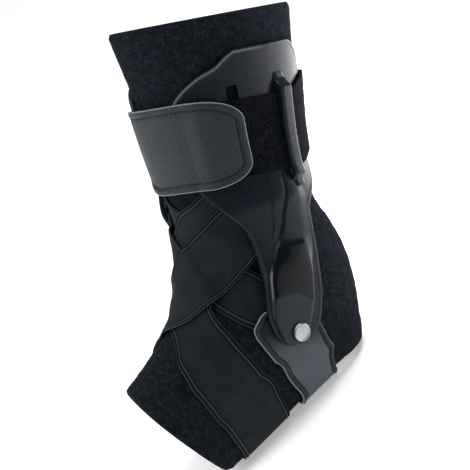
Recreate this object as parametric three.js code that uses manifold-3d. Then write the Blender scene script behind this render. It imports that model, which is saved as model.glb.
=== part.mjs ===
// Ankle brace: a padded knit sleeve with two moulded uprights riveted to a leather stirrup,
// four crossing elastic bands over the instep and a calf strap closed by a leather tab.
// Millimetres, +Z up. The brace stands on its sole, toes towards -Y, lateral side towards +X.

import * as THREE from "three";
import { mergeVertices } from "three/addons/utils/BufferGeometryUtils.js";
import Module from "manifold-3d";

const wasm = await Module();
wasm.setup();

// Overall sizes
const BRACE_HEIGHT = 235;      // floor to the front of the top rim
const FOOT_LENGTH = 150;       // heel datum to the top of the foot opening
const HALF_WIDTH = 49;         // half the outer width at the top rim

// Walls and thicknesses
const SLEEVE_WALL = 3.6;
const ELASTIC_THICKNESS = 1.1;
const LEATHER_THICKNESS = 1.8;
const LOOP_THICKNESS = 1.5;
const PLATE_THICKNESS = 2;
const LAYER_GAP = 0.60;        // clearance between any two layers
const BAND_GAP = 0.95;         // clearance between crossing bands
const STRAP_GAP = 0.85;        // clearance between the calf strap and the plates

// Uprights
const POD_RISE = 3.2;          // how far the ankle pod stands out of the plate
const POD_EDGE_SHARE = 0.15;   // rise of the pod's edges, as a share of its crown
const POD_SLOPE_SHARE = 0.2;   // part of the pod's width that slopes on each side
const BAR_WIDTH = 8.5;
const BAR_THICKNESS = 3;
const BAR_CLEARANCE = 2.2;     // between a bar's ramps and the strap's edges
const BAR_RAMP = 6;            // length over which a bar climbs onto the strap
const BAR_SEAT = 3.5;          // length of a bar on the plate beyond its ramp
const SLOT_WIDTH = 6.3;
const SLOT_HEIGHT = 12;

// Rivets
const RIVET_HEAD_DIAMETER = 11;
const RIVET_HEAD_RISE = 1.6;
const RIVET_CROWN_SHARE = 0.78; // flat top of the head, as a share of its diameter
const RIVET_SHANK_DIAMETER = 4;
const RIVET_FLANGE_DIAMETER = 8;
const RIVET_FLANGE_THICKNESS = 0.8;
const RIVET_CLEARANCE = 0.4;

// Heel opening in the sleeve's sole
const HEEL_HOLE_LENGTH = 44;
const HEEL_HOLE_WIDTH = 42;
const HEEL_HOLE_SETBACK = 37;  // heel datum to the middle of the hole

const WHOLE_TURN = 360;
const SURFACE_STEP = 0.004;    // share of the way down over which a slope is taken
const BORE_LENGTH = 40;

// Sections of the sleeve's outer form, from the top rim to the foot opening. Each section is a
// closed ring through a front point and a back point. Reaches are shares of FOOT_LENGTH ahead of
// the heel datum, heights of BRACE_HEIGHT, half widths and sideways shifts of HALF_WIDTH.
// Slant leads the lateral side ahead of the medial one; squareness 2 is an ellipse.
const SECTION_COLUMNS = [
  "frontReach", "frontHeight", "backReach", "backHeight", "halfWidth",
  "shift", "slant", "frontSquareness", "backSquareness",
];
const SECTIONS = [
  [0.221, 0.999, -0.437, 0.800, 1.000, 0.000, 0.00, 2.0, 2.0],
  [0.275, 0.852, -0.312, 0.673, 0.900, 0.000, 0.00, 2.0, 2.0],
  [0.347, 0.699, -0.168, 0.524, 0.825, 0.000, 0.00, 2.0, 2.0],
  [0.410, 0.553, -0.083, 0.386, 0.757, 0.000, 0.00, 2.0, 2.0],
  [0.457, 0.489, -0.092, 0.294, 0.740, 0.000, 0.00, 2.0, 2.0],
  [0.511, 0.439, -0.090, 0.209, 0.733, 0.000, 0.05, 2.0, 2.0],
  [0.568, 0.399, -0.052, 0.130, 0.731, 0.000, 0.10, 2.0, 2.1],
  [0.637, 0.369, -0.003, 0.066, 0.722, 0.000, 0.15, 2.1, 2.2],
  [0.704, 0.349, 0.036, 0.019, 0.712, -0.020, 0.20, 2.1, 2.5],
  [0.763, 0.340, 0.080, 0.000, 0.700, -0.040, 0.24, 2.2, 2.8],
  [0.827, 0.327, 0.253, 0.000, 0.708, -0.065, 0.30, 2.2, 2.8],
  [0.883, 0.314, 0.450, 0.000, 0.728, -0.095, 0.34, 2.2, 2.8],
  [1.006, 0.293, 0.839, 0.000, 0.760, -0.140, 0.41, 2.2, 2.8],
];

// Under the arch the sleeve is held off the floor by the stirrup and the bands.
const SOLE_RISE = LEATHER_THICKNESS + LAYER_GAP;
const SOLE_RISE_START = 0.755;
const SOLE_RISE_END = 0.825;

// Edges of a part that lies on the sleeve. "along" is the place down the sleeve, 0 at the top rim
// and 1 at the foot opening, and angles are degrees round it from the front to the lateral side.
// The foot band comes from the sole up the lateral side, crosses the instep and runs up to the
// medial upright.
const FOOT_BAND = {
  columns: ["angle", "rear", "fore"],
  rows: [
    [178, 0.930, 0.985],
    [140, 0.925, 0.981],
    [107, 0.895, 0.972],
    [89, 0.833, 0.960],
    [65, 0.750, 0.938],
    [51, 0.672, 0.918],
    [36, 0.600, 0.870],
    [23, 0.520, 0.795],
    [10, 0.420, 0.732],
    [0, 0.362, 0.695],
    [-15, 0.310, 0.640],
    [-30, 0.264, 0.560],
    [-46, 0.240, 0.466],
    [-62, 0.240, 0.385],
    [-78, 0.252, 0.355],
  ],
};

// The heel band runs from the lateral heel over the instep to the medial upright's upper part.
const HEEL_BAND = {
  columns: ["angle", "rear", "fore"],
  rows: [
    [80, 0.495, 0.668],
    [64, 0.465, 0.642],
    [49, 0.420, 0.608],
    [37, 0.380, 0.578],
    [20, 0.308, 0.530],
    [2, 0.252, 0.475],
    [-16, 0.234, 0.425],
    [-34, 0.218, 0.392],
    [-52, 0.226, 0.370],
    [-78, 0.246, 0.360],
  ],
};

// Plate of an upright, from its top edge to the round end under the rivet.
const PLATE = {
  columns: ["along", "fore", "rear"],
  rows: [
    [0.0500, 74, 121],
    [0.0540, 70, 125],
    [0.0610, 65, 130],
    [0.0680, 60, 133],
    [0.0750, 50, 135],
    [0.0820, 43, 137],
    [0.0900, 36, 138],
    [0.1030, 28, 139],
    [0.1250, 24, 140],
    [0.1600, 23, 140],
    [0.1950, 24.5, 138],
    [0.2170, 29.5, 130],
    [0.2470, 41, 114],
    [0.2700, 48, 106.5],
    [0.2950, 52, 103],
    [0.3300, 54.5, 100],
    [0.3700, 56.5, 98],
    [0.4500, 60, 97],
    [0.5350, 64.5, 98],
    [0.6050, 69.5, 97.5],
    [0.6500, 74.5, 94.5],
    [0.6800, 78.5, 92.5],
    [0.6980, 81.5, 90.5],
    [0.7100, 84, 89.5],
    [0.7180, 86, 88.5],
  ],
};

// Raised rib and ankle pod of an upright, from the strap's bar down to the round end.
const POD = {
  columns: ["along", "fore", "rear"],
  rows: [
    [0.2150, 92.5, 108],
    [0.2700, 82.5, 104],
    [0.3300, 75, 98.5],
    [0.3550, 71.5, 96.5],
    [0.3850, 68, 94.8],
    [0.4220, 65, 93.5],
    [0.4750, 64, 93],
    [0.5400, 66.8, 93.8],
    [0.6050, 70.7, 93],
    [0.6500, 75.5, 92.5],
    [0.6800, 79.5, 91],
    [0.6980, 82.5, 89.7],
    [0.7110, 84.8, 88.7],
  ],
};

// Leather stirrup from its lateral top edge to the middle of the heel; the medial half mirrors it.
const STIRRUP = {
  columns: ["foreAlong", "foreAngle", "rearAlong", "rearAngle"],
  rows: [
    [0.570, 72, 0.578, 97.5],
    [0.582, 66, 0.594, 98.5],
    [0.615, 64, 0.612, 99.5],
    [0.652, 64, 0.635, 101.5],
    [0.705, 70, 0.665, 104],
    [0.754, 78.5, 0.697, 106.5],
    [0.793, 88.5, 0.730, 110],
    [0.843, 101, 0.768, 116],
    [0.874, 115, 0.797, 129],
    [0.898, 137, 0.815, 148],
    [0.911, 158, 0.826, 163],
    [0.912, 180, 0.830, 180],
  ],
};

// Calf strap: the loop band runs round the back, the leather tab closes it in front.
const STRAP_TOP = 0.112;
const STRAP_BOTTOM = 0.206;
const STRAP_RISE = 0.020;      // how much higher the strap runs round the back
const STRAP_RISE_START = 72;   // degrees from the middle of the back where it starts to rise
const STRAP_RISE_END = 30;
const EDGE_LIFT = 0.024;       // rise of the strap's lower edge on its medial side
const LOOP_LATERAL_END = 50;
const LOOP_MEDIAL_END = 292;
const TAB_MEDIAL_END = -95;
const TAB_TIP = 72;
const TAB_ROUNDING = 34;       // degrees over which the tab's end is rounded
const TAB_TOP = 0.105;
const TAB_BOTTOM = 0.215;
const TAB_END_SHARE = 0.45;    // height of the tab's blunt end as a share of its width
const TAB_STEP_START = 6;      // degrees inside a loop end where the tab lies flat on it
const TAB_STEP_END = 20;       // degrees outside it where the tab is down on the plates
const STRAP_DROP_START = 8;    // degrees from the middle of the back where the strap lies low
const STRAP_DROP_END = 28;     // degrees from it where the strap is up at the plates' height

const BAR_ANGLE = 105.5;
const RIVET_ALONG = 0.644;
const RIVET_ANGLE = 87;
const SLOT_ALONG = 0.107;
const SLOT_ANGLE = 68.5;

// How far the plates stand off the sleeve: close at the calf, over bands and stirrup below.
const BAND_STACK = 2.55;       // layers of bands piled up under an upright, ramps included
const PLATE_LIFT = BAND_STACK * (ELASTIC_THICKNESS + BAND_GAP);
const POD_LIFT = ELASTIC_THICKNESS + LAYER_GAP + LEATHER_THICKNESS + LAYER_GAP;
const PLATE_LIFT_START = 0.190;
const PLATE_LIFT_END = 0.255;
const POD_LIFT_START = 0.42;
const POD_LIFT_END = 0.56;
const POD_START_RAMP = 0.030;
const POD_END_RAMP = 0.045;

// The stirrup's sides clear the heel bands; further down it lies on the sleeve.
const STIRRUP_DROP_START = 0.70;
const STIRRUP_DROP_END = 0.78;

// A band climbs onto a lower one over a ramp that starts just beside the lower one's edge.
const BAND_BESIDE = 0.024;
const BAND_RAMP = 0.100;
const BAND_BESIDE_ANGLE = 4;
const BAND_RAMP_ANGLE = 10;

const { smoothstep, lerp, degToRad } = THREE.MathUtils;

const COLOURS = {
  knit: new THREE.MeshStandardMaterial({ color: 0x15181f, roughness: 0.95, metalness: 0 }),
  elastic: new THREE.MeshStandardMaterial({ color: 0x23292c, roughness: 0.8, metalness: 0 }),
  plastic: new THREE.MeshStandardMaterial({ color: 0x262b33, roughness: 0.4, metalness: 0 }),
  leather: new THREE.MeshStandardMaterial({ color: 0x474e53, roughness: 0.5, metalness: 0 }),
  loop: new THREE.MeshStandardMaterial({ color: 0x121417, roughness: 0.95, metalness: 0 }),
  nickel: new THREE.MeshStandardMaterial({ color: 0xb5b8b8, roughness: 0.25, metalness: 1 }),
};

// Smooth curve through one column of evenly spaced rows, at a share of the way down them.
function tableValue(rows, column, share) {
  const last = rows.length - 1;
  const place = THREE.MathUtils.clamp(share, 0, 1) * last;
  const index = Math.min(Math.floor(place), last - 1);
  const t = place - index;
  const p1 = rows[index][column];
  const p2 = rows[index + 1][column];
  const p0 = index > 0 ? rows[index - 1][column] : 2 * p1 - p2;
  const p3 = index < last - 1 ? rows[index + 2][column] : 2 * p2 - p1;
  return 0.5 * (2 * p1 + (p2 - p0) * t + (2 * p0 - 5 * p1 + 4 * p2 - p3) * t * t
    + (3 * p1 - p0 - 3 * p2 + p3) * t * t * t);
}

function tableRow(rows, share) {
  return rows[0].map((_, column) => tableValue(rows, column, share));
}

function sectionValue(name, along) {
  return tableValue(SECTIONS, SECTION_COLUMNS.indexOf(name), along);
}

// Signed power that turns a circle into a squarer ring.
function squared(value, squareness) {
  return Math.sign(value) * Math.abs(value) ** (2 / squareness);
}

// Point of the sleeve's outer form.
function formPoint(along, angle) {
  const turn = degToRad(angle);
  const ahead = Math.cos(turn);
  const squareness = sectionValue(ahead >= 0 ? "frontSquareness" : "backSquareness", along);
  const depth = squared(ahead, squareness);
  const side = squared(Math.sin(turn), squareness) * sectionValue("halfWidth", along);
  const frontReach = sectionValue("frontReach", along);
  const backReach = sectionValue("backReach", along);
  const frontHeight = sectionValue("frontHeight", along);
  const backHeight = sectionValue("backHeight", along);
  const x = HALF_WIDTH * (sectionValue("shift", along) + side);
  const reach = FOOT_LENGTH * ((frontReach + backReach) / 2 + (frontReach - backReach) / 2 * depth)
    + sectionValue("slant", along) * HALF_WIDTH * side;
  const height = BRACE_HEIGHT * ((frontHeight + backHeight) / 2
    + (frontHeight - backHeight) / 2 * depth);
  const sole = SOLE_RISE * smoothstep(along, SOLE_RISE_START, SOLE_RISE_END);
  return new THREE.Vector3(x, -reach, Math.max(height, sole));
}

// Unit normal of the form, pointing outwards.
function formNormal(along, angle) {
  const down = formPoint(Math.min(along + SURFACE_STEP, 1), angle);
  down.sub(formPoint(Math.max(along - SURFACE_STEP, 0), angle));
  const round = formPoint(along, angle + 1).sub(formPoint(along, angle - 1));
  return down.cross(round).normalize();
}

// Point at a height above the sleeve, never below the floor.
function layerPoint(along, angle, height) {
  const point = formPoint(along, angle).addScaledVector(formNormal(along, angle), height);
  point.z = Math.max(point.z, 0);
  return point;
}

// Share of the way down the sleeve that a distance takes up at a place.
function alongShare(distance, along, angle) {
  const above = formPoint(along - SURFACE_STEP, angle);
  const below = formPoint(along + SURFACE_STEP, angle);
  return distance * 2 * SURFACE_STEP / above.distanceTo(below);
}

// Value of a column of an edge table at a key in its first column, on a smooth curve.
function edge(table, name, key) {
  const column = table.columns.indexOf(name);
  const rows = table.rows;
  const last = rows.length - 1;
  const rising = rows[last][0] > rows[0][0];
  const passed = (row) => (rising ? row[0] <= key : row[0] >= key);
  let index = 0;
  while (index < last - 1 && passed(rows[index + 1])) index += 1;
  const slope = (i) => {
    const before = rows[Math.max(i - 1, 0)];
    const after = rows[Math.min(i + 1, last)];
    return (after[column] - before[column]) / (after[0] - before[0]);
  };
  const a = rows[index];
  const b = rows[index + 1];
  const span = b[0] - a[0];
  const t = THREE.MathUtils.clamp((key - a[0]) / span, 0, 1);
  const ease = t * t * (3 - 2 * t);
  return lerp(a[column], b[column], ease)
    + span * t * (1 - t) * (slope(index) * (1 - t) - slope(index + 1) * t);
}

// Closed body between an outer and an inner grid of points; "round" joins the last column to the
// first one.
function gridSolid(outer, inner, round = false) {
  const rows = outer.length;
  const columns = outer[0].length;
  const positions = [...outer.flat(), ...inner.flat()].flatMap((p) => [p.x, p.y, p.z]);
  const index = [];
  const out = (i, j) => i * columns + (j % columns);
  const back = (i, j) => rows * columns + out(i, j);
  const quad = (a, b, c, d) => index.push(a, b, c, a, c, d);
  const spans = round ? columns : columns - 1;
  for (let i = 0; i < rows - 1; i += 1) {
    for (let j = 0; j < spans; j += 1) {
      quad(out(i, j), out(i, j + 1), out(i + 1, j + 1), out(i + 1, j));
      quad(back(i, j), back(i + 1, j), back(i + 1, j + 1), back(i, j + 1));
    }
    if (!round) {
      quad(out(i, 0), out(i + 1, 0), back(i + 1, 0), back(i, 0));
      quad(out(i + 1, spans), out(i, spans), back(i, spans), back(i + 1, spans));
    }
  }
  for (let j = 0; j < spans; j += 1) {
    quad(out(0, j + 1), out(0, j), back(0, j), back(0, j + 1));
    quad(out(rows - 1, j), out(rows - 1, j + 1), back(rows - 1, j + 1), back(rows - 1, j));
  }
  const geometry = new THREE.BufferGeometry();
  geometry.setAttribute("position", new THREE.Float32BufferAttribute(positions, 3));
  geometry.setIndex(index);
  return facingOut(geometry);
}

// Turns a closed body whose faces point in.
function facingOut(geometry) {
  const p = geometry.attributes.position;
  const corner = (n) => new THREE.Vector3().fromBufferAttribute(p, n);
  const index = Array.from(geometry.index.array);
  let volume = 0;
  for (let n = 0; n < index.length; n += 3) {
    volume += corner(index[n]).dot(corner(index[n + 1]).cross(corner(index[n + 2])));
  }
  if (volume < 0) index.reverse();
  geometry.setIndex(index);
  return geometry;
}

// Patch of a layer: place(t, s) gives along and angle, low and high the two heights there.
function patch(rowShares, columnCount, place, low, high) {
  const grid = (height) => rowShares.map((t) =>
    Array.from({ length: columnCount + 1 }, (_, j) => {
      const { along, angle } = place(t, j / columnCount);
      return layerPoint(along, angle, height(along, angle, t, j / columnCount));
    }));
  return gridSolid(grid(high), grid(low));
}

function shares(count) {
  return Array.from({ length: count + 1 }, (_, i) => i / count);
}

function toManifold(geometry) {
  const source = geometry.clone();
  source.deleteAttribute("normal");
  source.deleteAttribute("uv");
  const merged = mergeVertices(source, 1e-4);
  return new wasm.Manifold(new wasm.Mesh({
    numProp: 3,
    vertProperties: new Float32Array(merged.attributes.position.array),
    triVerts: new Uint32Array(merged.index.array),
  }));
}

function fromManifold(solid) {
  const mesh = solid.getMesh();
  const geometry = new THREE.BufferGeometry();
  geometry.setAttribute("position", new THREE.Float32BufferAttribute(mesh.vertProperties, 3));
  geometry.setIndex(Array.from(mesh.triVerts));
  return geometry;
}

// Moves a body made with +Z outwards and +Y up the sleeve to a place on the form.
function standOnForm(geometry, along, angle) {
  const normal = formNormal(along, angle);
  const base = formPoint(along, angle);
  const across = formPoint(along - SURFACE_STEP, angle).sub(base).cross(normal).normalize();
  const basis = new THREE.Matrix4().makeBasis(across, normal.clone().cross(across), normal);
  return geometry.clone().applyMatrix4(basis.setPosition(base));
}

// Bore for a rivet's shank, through everything that lies on the form there.
function rivetBore(side) {
  const radius = RIVET_SHANK_DIAMETER / 2 + RIVET_CLEARANCE;
  const bore = new THREE.CylinderGeometry(radius, radius, BORE_LENGTH, 12).rotateX(Math.PI / 2);
  return toManifold(standOnForm(bore, RIVET_ALONG, side * RIVET_ANGLE));
}

// The sleeve is one padded wall, open at the top, at the toes and under the heel.
function sleeveGeometry() {
  const rows = 24;
  const columns = 32;
  const grid = (height) => shares(rows).map((along) =>
    Array.from({ length: columns }, (_, j) => {
      const angle = j * WHOLE_TURN / columns;
      const point = formPoint(along, angle);
      return point.addScaledVector(formNormal(along, angle), height);
    }));
  const wall = toManifold(gridSolid(grid(0), grid(-SLEEVE_WALL), true));
  const outline = new THREE.Shape();
  outline.absellipse(0, 0, HEEL_HOLE_WIDTH / 2, HEEL_HOLE_LENGTH / 2, 0, 2 * Math.PI);
  const depth = 3 * SLEEVE_WALL;
  const plug = new THREE.ExtrudeGeometry(outline, { depth, bevelEnabled: false, curveSegments: 9 });
  plug.translate(0, -HEEL_HOLE_SETBACK, -SLEEVE_WALL);
  return fromManifold(wall.subtract(toManifold(plug)));
}

// A band is a strip between two edges; a mirrored band swaps the lateral and medial sides.
function makeBand(table, side, lower) {
  return { table, side, lower, first: table.rows[0][0], last: table.rows[table.rows.length - 1][0] };
}

// How fully a band covers a place: 1 on it, falling to 0 over the ramp beside it.
function coverage(band, along, angle) {
  const own = band.side * (angle > WHOLE_TURN / 2 ? angle - WHOLE_TURN : angle);
  const inEnds = Math.min(band.first - own, own - band.last);
  const rear = edge(band.table, "rear", own);
  const fore = edge(band.table, "fore", own);
  const inEdges = Math.min(along - rear, fore - along);
  return smoothstep(inEdges, -BAND_BESIDE - BAND_RAMP, -BAND_BESIDE)
    * smoothstep(inEnds, -BAND_BESIDE_ANGLE - BAND_RAMP_ANGLE, -BAND_BESIDE_ANGLE);
}

// Number of bands that lie under a band at a place, ramped beside their edges.
function bandLevel(band, along, angle) {
  return Math.max(0, ...band.lower.map((other) =>
    coverage(other, along, angle) * (1 + bandLevel(other, along, angle))));
}

function bandHeight(band, along, angle) {
  return LAYER_GAP + (ELASTIC_THICKNESS + BAND_GAP) * bandLevel(band, along, angle);
}

function bandGeometry(band, rows, columns) {
  const place = (t, s) => {
    const own = lerp(band.first, band.last, t);
    const along = lerp(edge(band.table, "rear", own), edge(band.table, "fore", own), s);
    return { along, angle: band.side * own };
  };
  const low = (along, angle) => bandHeight(band, along, angle);
  const high = (along, angle) => low(along, angle) + ELASTIC_THICKNESS;
  return patch(shares(rows), columns, place, low, high);
}

// Height of an upright's underside above the sleeve.
function plateHeight(along) {
  const overBands = PLATE_LIFT * smoothstep(along, PLATE_LIFT_START, PLATE_LIFT_END);
  const overStirrup = (POD_LIFT - PLATE_LIFT) * smoothstep(along, POD_LIFT_START, POD_LIFT_END);
  return LAYER_GAP + overBands + overStirrup;
}

// Strip between the fore and rear edges of a table, mirrored for the medial side.
function edgePlace(table, side) {
  return (t, s) => {
    const along = t;
    const angle = lerp(edge(table, "fore", along), edge(table, "rear", along), s);
    return { along, angle: side * angle };
  };
}

function uprightGeometry(side) {
  const under = (along) => plateHeight(along);
  const top = (along) => plateHeight(along) + PLATE_THICKNESS;
  const plate = patch(PLATE.rows.map((row) => row[0]), 10, edgePlace(PLATE, side), under, top);

  // The pod is crowned across and falls to the plate at both ends.
  const podStart = POD.rows[0][0];
  const podEnd = POD.rows[POD.rows.length - 1][0];
  const crown = (along, angle, t, s) => {
    const across = Math.min(1, Math.min(s, 1 - s) / POD_SLOPE_SHARE);
    const lengthwise = smoothstep(along, podStart, podStart + POD_START_RAMP)
      * (1 - smoothstep(along, podEnd - POD_END_RAMP, podEnd));
    return top(along) + POD_RISE * lerp(POD_EDGE_SHARE, 1, across * lengthwise);
  };
  const inside = (along) => plateHeight(along) + PLATE_THICKNESS / 2;
  const pod = patch(POD.rows.map((row) => row[0]), 5, edgePlace(POD, side), inside, crown);

  // The bar bridges the calf strap and stands on the plate above and below it.
  const circumference = Math.PI * HALF_WIDTH * (sectionValue("halfWidth", STRAP_TOP) * 2);
  const halfBar = (BAR_WIDTH / 2) * WHOLE_TURN / circumference;
  const [clearance, ramp, seat] = [BAR_CLEARANCE, BAR_RAMP, BAR_SEAT].map((distance) =>
    alongShare(distance, STRAP_TOP, BAR_ANGLE));
  const rampTop = STRAP_TOP - clearance;
  const rampBottom = STRAP_BOTTOM + clearance;
  const clearOfStrap = (along) => {
    const raised = smoothstep(along, rampTop - ramp, rampTop)
      * (1 - smoothstep(along, rampBottom, rampBottom + ramp));
    return raised * (LOOP_THICKNESS + 2 * STRAP_GAP + PLATE_THICKNESS / 2) + inside(along);
  };
  const barRows = [
    rampTop - ramp - seat, rampTop - ramp, rampTop - ramp / 2, rampTop,
    lerp(rampTop, rampBottom, 1 / 3), lerp(rampTop, rampBottom, 2 / 3),
    rampBottom, rampBottom + ramp / 2, rampBottom + ramp, rampBottom + ramp + seat,
  ];
  const barPlace = (t, s) => ({
    along: t,
    angle: side * (BAR_ANGLE + lerp(-halfBar, halfBar, s)),
  });
  const barTop = (along) => clearOfStrap(along) + BAR_THICKNESS;
  const bar = patch(barRows, 2, barPlace, clearOfStrap, barTop);

  const slotBox = new THREE.BoxGeometry(SLOT_WIDTH, SLOT_HEIGHT, 6 * PLATE_THICKNESS);
  const slot = toManifold(standOnForm(slotBox, SLOT_ALONG, side * SLOT_ANGLE));
  const body = toManifold(plate).add(toManifold(pod)).add(toManifold(bar));
  return fromManifold(body.subtract(slot).subtract(rivetBore(side)));
}

// Headed pin through pod and stirrup, with a flange behind the leather.
function rivetGeometry(side) {
  const seat = plateHeight(RIVET_ALONG) + PLATE_THICKNESS + POD_RISE + RIVET_CLEARANCE;
  const head = RIVET_HEAD_DIAMETER / 2;
  const shank = RIVET_SHANK_DIAMETER / 2;
  const flange = RIVET_FLANGE_DIAMETER / 2;
  const profile = [
    [0, LAYER_GAP], [flange, LAYER_GAP], [flange, LAYER_GAP + RIVET_FLANGE_THICKNESS],
    [shank, LAYER_GAP + RIVET_FLANGE_THICKNESS], [shank, seat], [head, seat],
    [head, seat + RIVET_HEAD_RISE / 2], [RIVET_CROWN_SHARE * head, seat + RIVET_HEAD_RISE],
    [0, seat + RIVET_HEAD_RISE],
  ].map(([r, h]) => new THREE.Vector2(r, h));
  const lathe = new THREE.LatheGeometry(profile, 16).rotateX(Math.PI / 2);
  lathe.deleteAttribute("normal");
  lathe.deleteAttribute("uv");
  const body = facingOut(mergeVertices(lathe, 1e-4));
  return fromManifold(toManifold(standOnForm(body, RIVET_ALONG, side * RIVET_ANGLE)));
}

// The stirrup lies over the heel bands and under the pods, and passes flat under the heel.
function stirrupGeometry(bands) {
  const place = (t, s) => {
    const [foreAlong, foreAngle, rearAlong, rearAngle] = tableRow(STIRRUP.rows, 1 - Math.abs(t));
    const angle = lerp(foreAngle, rearAngle, s);
    return { along: lerp(foreAlong, rearAlong, s), angle: t < 0 ? angle : WHOLE_TURN - angle };
  };
  const step = ELASTIC_THICKNESS + LAYER_GAP;
  const low = (along, angle) => {
    const covered = Math.max(...bands.map((band) => coverage(band, along, angle)));
    const dropped = smoothstep(along, STIRRUP_DROP_START, STIRRUP_DROP_END);
    return LAYER_GAP + step * Math.max(covered, 1 - dropped);
  };
  const high = (along, angle) => low(along, angle) + LEATHER_THICKNESS;
  const strip = toManifold(patch(shares(38).map((t) => 2 * t - 1), 4, place, low, high));
  return fromManifold(strip.subtract(rivetBore(1)).subtract(rivetBore(-1)));
}

// The loop band lies on both plates, passes under their bars and drops to the sleeve behind.
function strapHeight(along, angle) {
  const fromBack = Math.abs(WHOLE_TURN / 2 - (angle + WHOLE_TURN) % WHOLE_TURN);
  const onPlates = smoothstep(fromBack, STRAP_DROP_START, STRAP_DROP_END);
  return LAYER_GAP + onPlates * (plateHeight(along) + PLATE_THICKNESS + STRAP_GAP - LAYER_GAP);
}

// How far the strap's lower edge is drawn up, most of all beside the medial upright.
function edgeLift(angle) {
  const medial = (WHOLE_TURN - angle) % WHOLE_TURN;
  if (medial > WHOLE_TURN / 2) return 0;
  return EDGE_LIFT * smoothstep(medial, 5, 60) * (1 - smoothstep(medial, 100, 150));
}

function calfStrapGeometry() {
  const place = (t, s) => {
    const angle = lerp(LOOP_LATERAL_END, LOOP_MEDIAL_END, t);
    const fromBack = Math.abs(WHOLE_TURN / 2 - angle);
    const rise = STRAP_RISE * (1 - smoothstep(fromBack, STRAP_RISE_END, STRAP_RISE_START));
    return { along: lerp(STRAP_TOP, STRAP_BOTTOM - edgeLift(angle), s) - rise, angle };
  };
  const high = (along, angle) => strapHeight(along, angle) + LOOP_THICKNESS;
  return patch(shares(26), 3, place, strapHeight, high);
}

// The tab lies on the loop band's ends and on the plates' wings between them.
function strapTabGeometry() {
  const upper = (angle) => {
    const medialEnd = LOOP_MEDIAL_END - WHOLE_TURN;
    const lateral = smoothstep(
      angle, LOOP_LATERAL_END - TAB_STEP_END, LOOP_LATERAL_END - TAB_STEP_START,
    );
    const medial = 1 - smoothstep(angle, medialEnd + TAB_STEP_START, medialEnd + TAB_STEP_END);
    return (LOOP_THICKNESS + STRAP_GAP) * Math.max(lateral, medial);
  };
  const place = (t, s) => {
    const angle = lerp(TAB_MEDIAL_END, TAB_TIP, t);
    const toEnd = Math.min(1, (TAB_TIP - angle) / TAB_ROUNDING);
    const open = lerp(TAB_END_SHARE, 1, Math.sqrt(1 - (1 - toEnd) ** 2));
    const bottom = TAB_BOTTOM - edgeLift(angle);
    return { along: lerp(TAB_TOP, bottom, 0.5 + (s - 0.5) * open), angle };
  };
  const low = (along, angle) => strapHeight(along, angle) + upper(angle);
  const high = (along, angle) => low(along, angle) + LEATHER_THICKNESS;
  const tip = TAB_ROUNDING / (TAB_TIP - TAB_MEDIAL_END);
  const rounded = [0.2, 0.4, 0.6, 0.75, 0.88, 0.96, 1].map((share) => 1 - tip + tip * share);
  const body = shares(14).map((share) => share * (1 - tip));
  return patch([...body, ...rounded], 4, place, low, high);
}

const group = new THREE.Group();

function addPiece(name, geometry, material) {
  const mesh = new THREE.Mesh(geometry, material);
  mesh.name = name;
  group.add(mesh);
}

// Bands from the sleeve outwards; the last one lies over all the others.
const heelBandLateral = makeBand(HEEL_BAND, 1, []);
const heelBandMedial = makeBand(HEEL_BAND, -1, [heelBandLateral]);
const footBandLateral = makeBand(FOOT_BAND, 1, [heelBandLateral, heelBandMedial]);
const footBandMedial = makeBand(FOOT_BAND, -1, [heelBandLateral, heelBandMedial, footBandLateral]);

addPiece("sleeve", sleeveGeometry(), COLOURS.knit);
addPiece("heel_band_lateral", bandGeometry(heelBandLateral, 18, 6), COLOURS.elastic);
addPiece("heel_band_medial", bandGeometry(heelBandMedial, 18, 6), COLOURS.elastic);
addPiece("foot_band_lateral", bandGeometry(footBandLateral, 32, 7), COLOURS.elastic);
addPiece("foot_band_medial", bandGeometry(footBandMedial, 36, 7), COLOURS.elastic);
addPiece("stirrup", stirrupGeometry([heelBandLateral, heelBandMedial]), COLOURS.leather);
addPiece("upright_lateral", uprightGeometry(1), COLOURS.plastic);
addPiece("upright_medial", uprightGeometry(-1), COLOURS.plastic);
addPiece("rivet_lateral", rivetGeometry(1), COLOURS.nickel);
addPiece("rivet_medial", rivetGeometry(-1), COLOURS.nickel);
addPiece("calf_strap", calfStrapGeometry(), COLOURS.loop);
addPiece("strap_tab", strapTabGeometry(), COLOURS.leather);

// The origin is on the floor under the middle of the brace.
group.updateMatrixWorld(true);
const bounds = new THREE.Box3().setFromObject(group);
const middle = bounds.getCenter(new THREE.Vector3());
for (const mesh of group.children) {
  mesh.geometry.translate(-middle.x, -middle.y, -bounds.min.z);
}

export default group;
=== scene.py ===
"""Looks of a padded ankle brace: fleecy knit, ribbed elastic, coated leather and moulded plates."""

import math

import bmesh
import bpy
import numpy as np
from bpy.props import FloatProperty, FloatVectorProperty, PointerProperty
from mathutils import Matrix, Vector, noise
from mathutils.bvhtree import BVHTree


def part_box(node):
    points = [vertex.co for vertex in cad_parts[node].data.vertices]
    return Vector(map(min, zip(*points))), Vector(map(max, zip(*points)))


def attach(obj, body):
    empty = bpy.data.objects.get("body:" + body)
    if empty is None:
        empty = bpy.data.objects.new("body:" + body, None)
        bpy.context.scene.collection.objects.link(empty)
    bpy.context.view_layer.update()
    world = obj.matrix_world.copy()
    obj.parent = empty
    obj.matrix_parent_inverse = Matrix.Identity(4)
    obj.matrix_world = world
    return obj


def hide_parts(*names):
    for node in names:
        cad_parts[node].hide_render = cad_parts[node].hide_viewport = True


bl_info = {
    "name": "Ankle brace",
    "version": (1, 0, 0),
    "blender": (4, 5, 0),
    "location": "View3D > Sidebar > Brace",
    "description": "Builds the visible pieces of an ankle brace round its frame",
    "category": "Object",
}

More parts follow.
